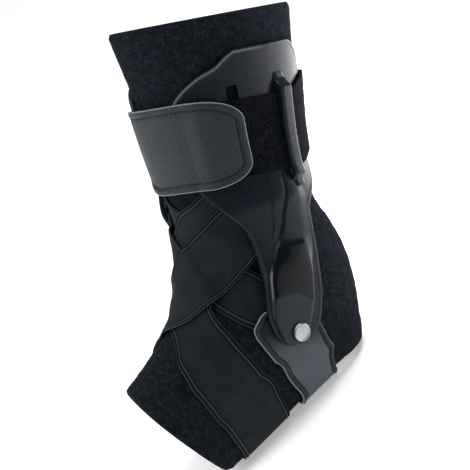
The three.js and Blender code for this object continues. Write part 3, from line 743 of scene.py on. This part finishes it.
def leather_material(name, base, worn, inset, grain):
    """Coated leather: pebbled grain, dark seam, plain margin, light cut edge with painted
    highlight, painted sheen.
    """
    c = colours()
    s = Surface(name, **{"Specular IOR Level": LEATHER_GLOSS[name]})
    pebble = s.cells(s.coords, 0.0012, "SMOOTH_F1")
    fine, broad = s.noise(0.0005, 3, 0.6), s.noise(0.016, 2, 0.5)
    tone = s.times(s.ramp(fine, 0.35, 0.7), s.ramp(broad, 0.3, 0.7, 0.4, 1.0))
    rim = s.attribute("rim")
    # Painted sheen: the stirrup's leather is mixed lighter where it turns under the heel.
    field = s.mix(s.attribute("painted_sheen"), s.mix(tone, base, worn), c.leather_painted_sheen)
    inner = s.mix(s.ramp(rim, inset - 0.0002, inset + 0.0002), c.leather_margin, field)
    off_seam = s.calc("ABSOLUTE", s.calc("SUBTRACT", rim, inset))
    sewn = s.mix(s.ramp(off_seam, 0.0004, 0.0008), c.thread, inner)
    # Light cut edge along the rim, partly a painted highlight on the rounded edge.
    s.feed("Base Color", s.mix(s.ramp(rim, 0.0004, 0.0006), c.leather_edge_and_highlight, sewn))
    s.feed("Roughness", s.ramp(broad, 0.3, 0.7, 0.36, 0.48))
    s.bump(s.calc("ADD", s.times(pebble, 1.4), fine), 0.00032 * grain)
    return s.material


def loop_material():
    """Brushed loop band: black pile with lighter loops in slanting rows."""
    c = colours()
    s = Surface("Brushed loop", **cloth(0.95, 0.06, 0.03, 0.4, "#9aa0ab"))
    flat = s.flat()
    rows = s.ribs(flat, "DIAGONAL", 0.0011, 2.0)
    tips = s.ramp(s.cells(flat, 0.0009, randomness=0.8), 0.45, 0.15)
    tone = s.times(tips, s.ramp(rows, 0.3, 0.85))
    s.feed("Base Color", s.mix(tone, c.loop, c.loop_speck))
    s.bump(tips, 0.0006)
    return s.material


def plastic_material():
    """Moulded plastic: satin, polished on the pod's face and matt round the rivet, with painted
    reflection in their colours and a painted highlight on the rim bead.
    """
    c = colours()
    s = Surface("Moulded plastic", **{"Specular IOR Level": 0.16})
    polish_and_painted_reflection = s.attribute("polish_and_painted_reflection")
    satin = s.ramp(s.noise(0.007, 4, 0.6), 0.3, 0.7, 0.28, 0.36)
    s.feed("Roughness", s.times(satin, s.ramp(polish_and_painted_reflection, -1, 1, 1.5, 0.3)))
    # Painted reflection: darker colour on the polished face, lighter on the matt disc.
    tone = s.mix(s.ramp(polish_and_painted_reflection, 0, 1), c.plastic, c.plastic_polished_painted_reflection)
    tone = s.mix(s.ramp(polish_and_painted_reflection, 0, -1), tone, c.plastic_matt_painted_reflection)
    # Painted highlight on the rim bead.
    s.feed("Base Color", s.mix(s.attribute("bead"), tone, c.plastic_bead_highlight))
    s.bump(s.noise(0.0009, 2, 0.5), 0.00002, 0.6)
    return s.material


def nickel_material():
    """Nickel plate with faint wear."""
    s = Surface("Nickel plate", **{"Base Color": colours().nickel, "Metallic": 1.0})
    wear = s.noise(0.0012, 4, 0.6)
    s.feed("Roughness", s.ramp(wear, 0.3, 0.7, 0.2, 0.36))
    s.bump(wear, 0.00003, 0.5)
    return s.material


def thread_material():
    """Twisted sewing thread."""
    s = Surface("Sewing thread", **{"Base Color": colours().thread, "Roughness": 0.7})
    s.bump(s.noise(0.0003, 2, 0.5), 0.0001, 0.7)
    return s.material


def edge_material():
    """Cut edge of coated leather, where the lighter core shows."""
    c = colours()
    s = Surface("Leather edge", **{"Roughness": 0.7, "Specular IOR Level": 0.3})
    streaks = s.ramp(s.noise(0.0007, 3, 0.6), 0.3, 0.7)
    s.feed("Base Color", s.mix(streaks, c.leather_edge_and_highlight, c.leather_worn))
    return s.material


def floor_material():
    """Matt studio floor that hardly shades."""
    pale = colours().floor
    s = Surface("Studio floor", **{
        "Roughness": 0.9, "Specular IOR Level": 0.1, "Emission Strength": 0.38,
        "Emission Color": pale})
    s.feed("Base Color", s.mix(s.noise(0.8), pale, srgb("#f1f2f3")))
    return s.material


# Operators

class BRACE_OT_sleeve(bpy.types.Operator):
    """Padded knit sleeve, open at the calf, the toes and under the heel"""

    bl_idname = "brace.sleeve"
    bl_label = "Sleeve"

    def execute(self, context):
        size = sizes()
        sheet = Sheet(*grid("sleeve"), lambda u, v: (v, 360 * u))
        ends = np.minimum(sheet.down, sheet.down[-1:] - sheet.down)
        rounding = edge_drop(ends, size.rim_radius)
        nap = noise_over(sheet.base[:, :-1], (size.nap_pitch, 1), (size.nap_pitch / 2.3, 0.5))
        nap = np.concatenate([nap, nap[:, :1]], axis=1)
        flat = smoothstep(sheet.base[..., 2], 0.001, 0.004)
        high = size.nap_depth * nap * flat - rounding
        low = rounding - size.sleeve_wall
        axes = (size.heel_hole_width / 2, size.heel_hole_length / 2)
        centre = (0.0, heel_datum() - size.heel_hole_setback)
        middles = (sheet.base[:-1, :-1] + sheet.base[1:, 1:]) / 2
        spread = np.hypot((middles[..., 0] - centre[0]) / axes[0],
                          (middles[..., 1] - centre[1]) / axes[1])
        hole = (spread < 1) & (middles[..., 2] < 0.015)
        bm = slab_mesh(sheet, low, high, hole=hole, ring=True)
        # The heel opening's stepped outline is drawn onto its ellipse.
        for vert in bm.verts:
            x, y = (vert.co.x - centre[0]) / axes[0], (vert.co.y - centre[1]) / axes[1]
            on_edge = any(abs(face.normal.z) < 0.6 and face.material_index == 1
                          for face in vert.link_faces)
            if on_edge and vert.co.z < 0.012 and math.hypot(x, y) < 1.25:
                vert.co.x = centre[0] + axes[0] * x / math.hypot(x, y)
                vert.co.y = centre[1] + axes[1] * y / math.hypot(x, y)
        piece = finish_piece("knit_sleeve", bm, [knit_material()], "sleeve")
        return {"FINISHED"}


def band_sheet(name):
    """Grid and heights of an elastic band with corded borders."""
    size = sizes()
    table, side, _ = BANDS[name]
    first, last = table["rows"][0][0], table["rows"][-1][0]

    def place(u, v):
        own = first + (last - first) * v
        rear, fore = edge(table, "rear", own), edge(table, "fore", own)
        return rear + (fore - rear) * u, side * own

    sheet = Sheet(*grid("foot_band" if table is FOOT_BAND else "heel_band"), place)
    side_gap = sheet.side_gap()
    base = size.layer_gap + (size.elastic_thickness + size.band_gap) * band_level(
        name, sheet.along, sheet.angle)
    rounding = edge_drop(side_gap, EDGE_ROUNDING["band"] * size.elastic_thickness)
    cords = bump(side_gap, 0.0005, 0.0004) + bump(side_gap, CORD_PITCH, 0.0005)
    grooves = bump(side_gap, CORD_PITCH / 2, 0.0005) + bump(side_gap, 1.5 * CORD_PITCH, 0.0005)
    relief = size.border_ridge * (cords - grooves)
    return sheet, base + rounding, base + size.elastic_thickness - rounding + relief, side_gap


class BRACE_OT_bands(bpy.types.Operator):
    """Four elastic bands that cross over the instep"""

    bl_idname = "brace.bands"
    bl_label = "Elastic bands"

    def execute(self, context):
        material = elastic_material()
        for name in BANDS:
            sheet, low, high, side_gap = band_sheet(name)
            bm = slab_mesh(sheet, low, high, attributes={"rim": side_gap})
            piece = finish_piece(name.replace("band", "elastic"), bm, [material], name)
            sheet.flat()
        return {"FINISHED"}


class BRACE_OT_stirrup(bpy.types.Operator):
    """Leather stirrup under the heel, hemmed and stitched along both edges"""

    bl_idname = "brace.stirrup"
    bl_label = "Stirrup"

    def execute(self, context):
        size, c = sizes(), colours()

        def place(u, v):
            t = 2 * v - 1
            row = curve(STIRRUP["rows"], 1 - np.abs(t))
            fore_along, fore_angle, rear_along, rear_angle = np.moveaxis(row, -1, 0)
            angle = fore_angle + (rear_angle - fore_angle) * u
            return (fore_along + (rear_along - fore_along) * u,
                    np.where(t < 0, angle, 360 - angle))

        sheet = Sheet(*grid("stirrup"), place)
        covered = np.maximum(*(coverage(name, sheet.along, sheet.angle)
                               for name in ("heel_band_lateral", "heel_band_medial")))
        dropped = smoothstep(sheet.along, STIRRUP_DROP_START, STIRRUP_DROP_END)
        step = size.elastic_thickness + size.layer_gap
        base = size.layer_gap + step * np.maximum(covered, 1 - dropped)
        rim = rim_distance(sheet.base)
        rounding = edge_drop(rim, EDGE_ROUNDING["stirrup"] * size.leather_thickness)
        seam = 0.0003 * bump(rim, size.hem_inset, 0.0006)
        hem = 0.00018 * bump(rim, 0.0016, 0.0011)
        low, high = base + rounding, base + size.leather_thickness - rounding + hem - seam
        # Painted sheen: the leather is painted lighter where it turns under the heel.
        turned = 1 - np.abs(2 * sheet.v - 1)
        painted_sheen = smoothstep(turned + 0.15 * sheet.u, 0.30, 0.66)
        on_floor = sheet.base[..., 2] < 0.004
        low = np.where(on_floor, base, low)
        bm = slab_mesh(sheet, low, high, attributes={"rim": rim, "painted_sheen": painted_sheen})
        tree = BVHTree.FromBMesh(bm)
        outer = sheet.points(high)
        threads = bmesh.new()
        sewn = slice(4, -4)
        for column, inward in ((0, 1), (-1, -2)):
            way = unit(outer[sewn, inward] - outer[sewn, column])
            stitch_seam(threads, outer[sewn, column], tree, way, size.hem_inset)
        leather = leather_material("Stirrup leather", c.stirrup, c.stirrup_worn,
                                   size.hem_inset, 0.35)
        piece = finish_piece("leather_stirrup", bm, [leather], "stirrup")
        seam = finish_piece("stirrup_stitches", threads, [thread_material()], None)
        sheet.flat()
        return {"FINISHED"}


def plate_sheet(side):
    """Grid of an upright's plate, with lines along its window, its rib and its pod."""
    size = sizes()
    slot_half = angle_share(size.slot_width / 2, SLOT_ALONG, SLOT_ANGLE)
    slot_rise = along_share(size.slot_height / 2, SLOT_ALONG, SLOT_ANGLE)
    slot_top, slot_bottom = SLOT_ALONG - slot_rise, SLOT_ALONG + slot_rise
    # Columns and their crowding from station to station: front, window, rib and rear.
    columns = ((26, 0.6), (7, 0.5), (22, 0.5), (30, 0.75), (24, 0.6))
    u = np.concatenate([[0], *(i + shares(*part)[1:] for i, part in enumerate(columns))])
    top, bottom, tip = PLATE["rows"][0][0], PLATE["rows"][-1][0], 0.66
    v = np.concatenate([
        top + (slot_top - top) * shares(26) ** 1.5,
        np.linspace(slot_top, slot_bottom, 19)[1:],
        np.linspace(slot_bottom, tip, 120)[1:],
        bottom - (bottom - tip) * (1 - shares(34)[1:]) ** 1.6,
    ])

    def place(u, v):
        fore, rear = edge(PLATE, "fore", v), edge(PLATE, "rear", v)
        pod_fore = np.clip(edge(POD, "fore", v), fore + 0.5, rear - 0.6)
        pod_rear = np.clip(edge(POD, "rear", v), pod_fore + 0.05, rear - 0.3)
        near_slot = (smoothstep(v, slot_top - 0.016, slot_top - 0.001)
                     * (1 - smoothstep(v, slot_bottom + 0.001, slot_bottom + 0.05)))
        first = fore + (pod_fore - fore) * 0.45
        second = fore + (pod_fore - fore) * 0.6
        first += (SLOT_ANGLE - slot_half - first) * near_slot
        second += (SLOT_ANGLE + slot_half - second) * near_slot
        stations = (fore, first, second, pod_fore, pod_rear, rear)
        angle = np.zeros_like(v)
        for index in range(5):
            t = np.clip(u - index, 0, 1)
            angle += (stations[index + 1] - stations[index]) * t
        return v, side * (fore + angle)

    sheet = Sheet(u, v, place)
    middle_u = (sheet.u[:-1, :-1] + sheet.u[1:, 1:]) / 2
    middle_v = (sheet.v[:-1, :-1] + sheet.v[1:, 1:]) / 2
    hole = ((middle_u > 1) & (middle_u < 2) & (middle_v > slot_top) & (middle_v < slot_bottom))
    return sheet, hole


class BRACE_OT_uprights(bpy.types.Operator):
    """Moulded uprights with window, strap bar, rib and polished ankle pod"""

    bl_idname = "brace.uprights"
    bl_label = "Uprights"

    def execute(self, context):
        material = plastic_material()
        for name, side in (("lateral", 1), ("medial", -1)):
            bm, bar = self.plate(side), self.bar(side)
            mesh = bpy.data.meshes.new("bar")
            bar.to_mesh(mesh)
            bar.free()
            bm.from_mesh(mesh)
            bpy.data.meshes.remove(mesh)
            finish_piece(f"plastic_upright_{name}", bm, [material], f"upright_{name}",
                         bevel=0.0006)
        return {"FINISHED"}

    def plate(self, side):
        """Bmesh of one side's plate, with its rib, pod, bead and window."""
        size = sizes()
        sheet, hole = plate_sheet(side)
        rise = edge(POD_RELIEF, "rise", sheet.v)
        # Across the pod: a steep step at each side, then a crown.
        s = np.clip(sheet.u - 3, 0, 1)
        rear_slope = 0.38 - 0.27 * smoothstep(sheet.v, 0.27, 0.48)
        step = smoothstep(s, 0.0, 0.10) * np.clip((1 - s) / rear_slope, 0, 1)
        crown = 0.72 + 0.28 * np.sqrt(np.clip(1 - (2 * s - 1) ** 2, 0, 1))
        disc = smoothstep(sheet.v, DISC_START, DISC_END)
        profile = crown * (1 - disc) + 0.93 * disc
        # The polished field ends in a shallow V above the disc round the rivet; the same mask sets
        # their roughness and paints the field darker and the disc lighter, a painted reflection.
        v_line = V_SHOULDER - V_DEPTH * (1 - np.abs(2 * s - 1))
        below = smoothstep(sheet.v, v_line - V_BLUR, v_line + V_BLUR)
        polish_and_painted_reflection = (1 - below) * smoothstep(sheet.v, POLISH_START, POLISH_END) * step
        matt = below * smoothstep(step, 0.6, 0.9)
        relief = size.pod_rise * rise * step * profile
        relief = relief + 0.0004 * polish_and_painted_reflection
        # A shallow crease divides the front wing from the panel beside the rib.
        panel = smoothstep(sheet.u, 2.42, 2.52) * (1 - smoothstep(sheet.u, 2.96, 3.0))
        low_part = smoothstep(sheet.v, 0.20, 0.215) * (1 - smoothstep(sheet.v, 0.31, 0.36))
        relief = relief + 0.00045 * panel * low_part
        rim = rim_distance(sheet.base)
        relief = relief + size.rim_bead * bump(rim, 0.0011, 0.0007)
        # Painted highlight: the bead is painted bright along the calf wing and dull further down.
        wing = (1 - smoothstep(sheet.v, 0.10, 0.20)) * (1 - smoothstep(sheet.u, 2.0, 3.0))
        bead = bump(rim, 0.0009, 0.0006) * (0.12 + 0.88 * wing)
        under = plate_height(sheet.along)
        return slab_mesh(sheet, under, under + size.plate_thickness + relief,
                         hole=hole, attributes={"polish_and_painted_reflection": polish_and_painted_reflection - matt, "bead": bead})

    def bar(self, side):
        """Bmesh of the bar that holds the calf strap on one side's plate."""
        size = sizes()
        half = angle_share(size.bar_width / 2, STRAP_TOP, BAR_ANGLE)
        clearance, ramp, seat = (along_share(distance, STRAP_TOP, BAR_ANGLE) for distance in (
            size.bar_clearance, size.bar_ramp, size.bar_seat))
        ramp_top, ramp_bottom = STRAP_TOP - clearance, STRAP_BOTTOM + clearance
        first, last = ramp_top - ramp - seat, ramp_bottom + ramp + seat

        def place(u, v):
            return first + (last - first) * v, side * (BAR_ANGLE + half * (2 * u - 1))

        chamfer_share = BAR_CHAMFER / size.bar_width
        columns = np.concatenate([
            np.linspace(0, chamfer_share, 4), np.linspace(chamfer_share, 1 - chamfer_share, 7)[1:],
            np.linspace(1 - chamfer_share, 1, 4)[1:]])
        sheet = Sheet(columns, shares(90, 0.3), place)
        along = sheet.along
        raised = (smoothstep(along, ramp_top - ramp, ramp_top)
                  * (1 - smoothstep(along, ramp_bottom, ramp_bottom + ramp)))
        over = size.loop_thickness + 2 * size.strap_gap + size.plate_thickness / 2
        low = plate_height(along) + size.plate_thickness / 2 + raised * over
        chamfer = 0.7 * BAR_CHAMFER * np.clip(1 - sheet.side_gap() / BAR_CHAMFER, 0, 1)
        lead = 0.0016 * np.clip(1 - sheet.down / 0.005, 0, 1)
        high = low + size.bar_thickness - chamfer - lead
        plain = np.zeros_like(along)
        return slab_mesh(sheet, low, high, attributes={"polish_and_painted_reflection": plain, "bead": plain})


class BRACE_OT_rivets(bpy.types.Operator):
    """Nickel rivets with turned rings"""

    bl_idname = "brace.rivets"
    bl_label = "Rivets"

    def execute(self, context):
        size = sizes()
        head = size.rivet_diameter / 2
        seat = (float(plate_height(np.array(RIVET_ALONG))) + size.plate_thickness
                + size.pod_rise + size.rivet_clearance)
        # Profile from the flange behind the leather, up the shank to the crowned head.
        crown = (
            (1, 0.45), (0.95, 0.80), (0.87, 1), (0.80, 0.94), (0.76, 0.80), (0.62, 0.84),
            (0.58, 0.78), (0.40, 0.86), (0.36, 0.80), (0, 0.84),
        )
        profile = [
            (0, size.layer_gap), (0.004, size.layer_gap), (0.004, size.layer_gap + 0.0008),
            (0.002, size.layer_gap + 0.0008), (0.002, seat), (0.93 * head, seat),
            (head, seat + 0.0003), *((r * head, seat + h * size.rivet_rise) for r, h in crown),
        ]
        for name, side in (("lateral", 1), ("medial", -1)):
            bm = bmesh.new()
            verts = [bm.verts.new((r, 0, h)) for r, h in profile]
            edges = [bm.edges.new(pair) for pair in zip(verts, verts[1:])]
            bmesh.ops.spin(bm, geom=verts + edges, cent=(0, 0, 0), axis=(0, 0, 1),
                           angle=2 * math.pi, steps=48, use_merge=True)
            bmesh.ops.remove_doubles(bm, verts=bm.verts[:], dist=1e-7)
            bmesh.ops.transform(bm, verts=bm.verts[:],
                                matrix=place_basis(RIVET_ALONG, side * RIVET_ANGLE, 0))
            face_outward(bm)
            finish_piece(f"nickel_rivet_{name}", bm, [nickel_material()], f"rivet_{name}")
        return {"FINISHED"}


class BRACE_OT_strap(bpy.types.Operator):
    """Brushed loop strap round the calf"""

    bl_idname = "brace.strap"
    bl_label = "Calf strap"

    def execute(self, context):
        size = sizes()

        def place(u, v):
            angle = LOOP_LATERAL_END + (LOOP_MEDIAL_END - LOOP_LATERAL_END) * v
            from_back = np.abs(180 - angle)
            rise = STRAP_RISE * (1 - smoothstep(from_back, STRAP_RISE_END, STRAP_RISE_START))
            bottom = STRAP_BOTTOM - edge_lift(angle)
            return STRAP_TOP + (bottom - STRAP_TOP) * u - rise, angle

        sheet = Sheet(*grid("strap"), place)
        base = strap_height(sheet.along, sheet.angle)
        rounding = edge_drop(sheet.side_gap(), EDGE_ROUNDING["strap"] * size.loop_thickness)
        pile = noise_over(sheet.base, (0.0016, 1), (0.006, 1))
        high = base + size.loop_thickness - rounding + 0.00018 * pile
        bm = slab_mesh(sheet, base + rounding, high)
        piece = finish_piece("loop_strap", bm, [loop_material()], "calf_strap")
        sheet.flat()
        return {"FINISHED"}


class BRACE_OT_tab(bpy.types.Operator):
    """Stitched leather tab that closes the calf strap"""

    bl_idname = "brace.tab"
    bl_label = "Strap tab"

    def execute(self, context):
        size, c = sizes(), colours()

        def place(u, v):
            angle = TAB_MEDIAL_END + (TAB_TIP - TAB_MEDIAL_END) * v
            to_end = np.clip((TAB_TIP - angle) / TAB_ROUNDING, 0, 1)
            spread = TAB_END_SHARE + (1 - TAB_END_SHARE) * np.sqrt(1 - (1 - to_end) ** 2)
            share = 0.5 + (u - 0.5) * spread
            return TAB_TOP + (TAB_BOTTOM - edge_lift(angle) - TAB_TOP) * share, angle

        tip = TAB_ROUNDING / (TAB_TIP - TAB_MEDIAL_END)
        rows = np.concatenate([
            shares(120) * (1 - tip), 1 - tip * (1 - shares(48)[1:]) ** 2.0])
        sheet = Sheet(shares(48, 0.6), rows, place)
        medial_end = LOOP_MEDIAL_END - 360
        lateral = smoothstep(sheet.angle, LOOP_LATERAL_END - TAB_STEP_END,
                             LOOP_LATERAL_END - TAB_STEP_START)
        medial = 1 - smoothstep(sheet.angle, medial_end + TAB_STEP_START,
                                medial_end + TAB_STEP_END)
        upper = (size.loop_thickness + size.strap_gap) * np.maximum(lateral, medial)
        base = strap_height(sheet.along, sheet.angle) + upper
        rim = rim_distance(sheet.base)
        rounding = edge_drop(rim, EDGE_ROUNDING["tab"] * size.leather_thickness)
        seam = 0.00042 * bump(rim, size.stitch_inset, 0.0007)
        margin = 0.00022 * bump(rim, 0.5 * size.stitch_inset, 0.0012)
        high = base + size.leather_thickness - rounding + margin - seam
        bm = slab_mesh(sheet, base + rounding, high,
                       attributes={"rim": rim, "painted_sheen": np.zeros_like(rim)})
        tree = BVHTree.FromBMesh(bm)
        outer = sheet.points(high)
        path, *places = (np.concatenate([grid[2:, 0], grid[-1, 1:], grid[-2:1:-1, -1]])
                         for grid in (outer, sheet.along, sheet.angle))
        way = unit(np.cross(form_normal(*places), unit(np.gradient(path, axis=0))))
        middle = outer[len(outer) // 2, outer.shape[1] // 2]
        if np.dot(way[len(way) // 8], middle - path[len(way) // 8]) < 0:
            way = -way
        threads = bmesh.new()
        stitch_seam(threads, path, tree, way, size.stitch_inset)
        leather = leather_material("Tab leather", c.leather, c.leather_worn,
                                   size.stitch_inset, 1.0)
        piece = finish_piece("leather_tab", bm, [leather, edge_material()], "strap_tab",
                             bevel=0.0003)
        seam_piece = finish_piece("tab_stitches", threads, [thread_material()], None)
        sheet.flat(np.max)
        return {"FINISHED"}


class BRACE_OT_stage(bpy.types.Operator):
    """Pale floor, soft studio light and the camera at the photograph's angle"""

    bl_idname = "brace.stage"
    bl_label = "Stage"

    def execute(self, context):
        scene = context.scene
        bm = bmesh.new()
        bmesh.ops.create_grid(bm, x_segments=8, y_segments=8, size=6)
        mesh = bpy.data.meshes.new("floor")
        bm.to_mesh(mesh)
        bm.free()
        mesh.materials.append(floor_material())
        floor = bpy.data.objects.new("floor", mesh)
        context.collection.objects.link(floor)

        world = scene.world or bpy.data.worlds.new("Studio")
        scene.world = world
        world.use_nodes = True
        background = world.node_tree.nodes["Background"]
        background.inputs["Color"].default_value = (*srgb("#e9edf2"), 1)
        background.inputs["Strength"].default_value = 0.3
        self.light("front left", (-0.9, -1.5, 0.7), (0.6, 1.4), 22)
        self.light("floor behind", (0.1, 0.65, 0.7), (0.5, 0.7), 10, (0.1, 0.65, 0.0), 75)
        self.light("top", (0.1, 0.1, 2.0), (2.2, 2.2), 36)

        azimuth, elevation, roll = (math.radians(a) for a in (
            VIEW_AZIMUTH, VIEW_ELEVATION, VIEW_ROLL))
        turn = (Matrix.Rotation(azimuth, 4, "Z") @ Matrix.Rotation(math.pi / 2 - elevation, 4, "X")
                @ Matrix.Rotation(roll, 4, "Z"))
        data = bpy.data.cameras.new("camera")
        data.lens, data.sensor_width = VIEW_LENS, 36.0
        camera = bpy.data.objects.new("camera", data)
        context.collection.objects.link(camera)
        camera.matrix_world = (Matrix.Translation(VIEW_AIM) @ turn
                               @ Matrix.Translation((-VIEW_SIDESTEP, 0, VIEW_DISTANCE)))
        scene.camera = camera
        scene.view_settings.view_transform = "Standard"
        return {"FINISHED"}

    def light(self, name, place, size, power, target=(0, 0, 0.1), spread=180):
        """Adds an area light aimed at a target, with its beam's angle in degrees."""
        data = bpy.data.lights.new(name, "AREA")
        data.spread = math.radians(spread)
        data.shape, data.size, data.size_y, data.energy = "RECTANGLE", *size, power
        lamp = bpy.data.objects.new(name, data)
        bpy.context.collection.objects.link(lamp)
        lamp.location = place
        way = Vector(target) - Vector(place)
        lamp.rotation_euler = way.to_track_quat("-Z", "Y").to_euler()


OPERATORS = (
    BRACE_OT_sleeve, BRACE_OT_bands, BRACE_OT_stirrup, BRACE_OT_uprights, BRACE_OT_rivets,
    BRACE_OT_strap, BRACE_OT_tab, BRACE_OT_stage,
)


class BRACE_PT_panel(bpy.types.Panel):
    """Pieces of the ankle brace"""

    bl_label = "Ankle brace"
    bl_idname = "BRACE_PT_panel"
    bl_space_type = "VIEW_3D"
    bl_region_type = "UI"
    bl_category = "Brace"

    def draw(self, context):
        for operator in OPERATORS:
            self.layout.operator(operator.bl_idname)
        for group in (context.scene.brace_sizes, context.scene.brace_colours):
            for name in group.__annotations__:
                self.layout.prop(group, name)


CLASSES = (BraceSizes, BraceColours, *OPERATORS, BRACE_PT_panel)


def register():
    """Registers the classes and the scene's properties."""
    for cls in CLASSES:
        bpy.utils.register_class(cls)
    bpy.types.Scene.brace_sizes = PointerProperty(type=BraceSizes)
    bpy.types.Scene.brace_colours = PointerProperty(type=BraceColours)


def unregister():
    """Removes the scene's properties and the classes."""
    del bpy.types.Scene.brace_colours
    del bpy.types.Scene.brace_sizes
    for cls in reversed(CLASSES):
        bpy.utils.unregister_class(cls)


def main():
    """Builds every piece and the stage."""
    register()
    for name in ("sleeve", "bands", "stirrup", "uprights", "rivets", "strap", "tab", "stage"):
        getattr(bpy.ops.brace, name)()


if __name__ == "__main__":
    main()
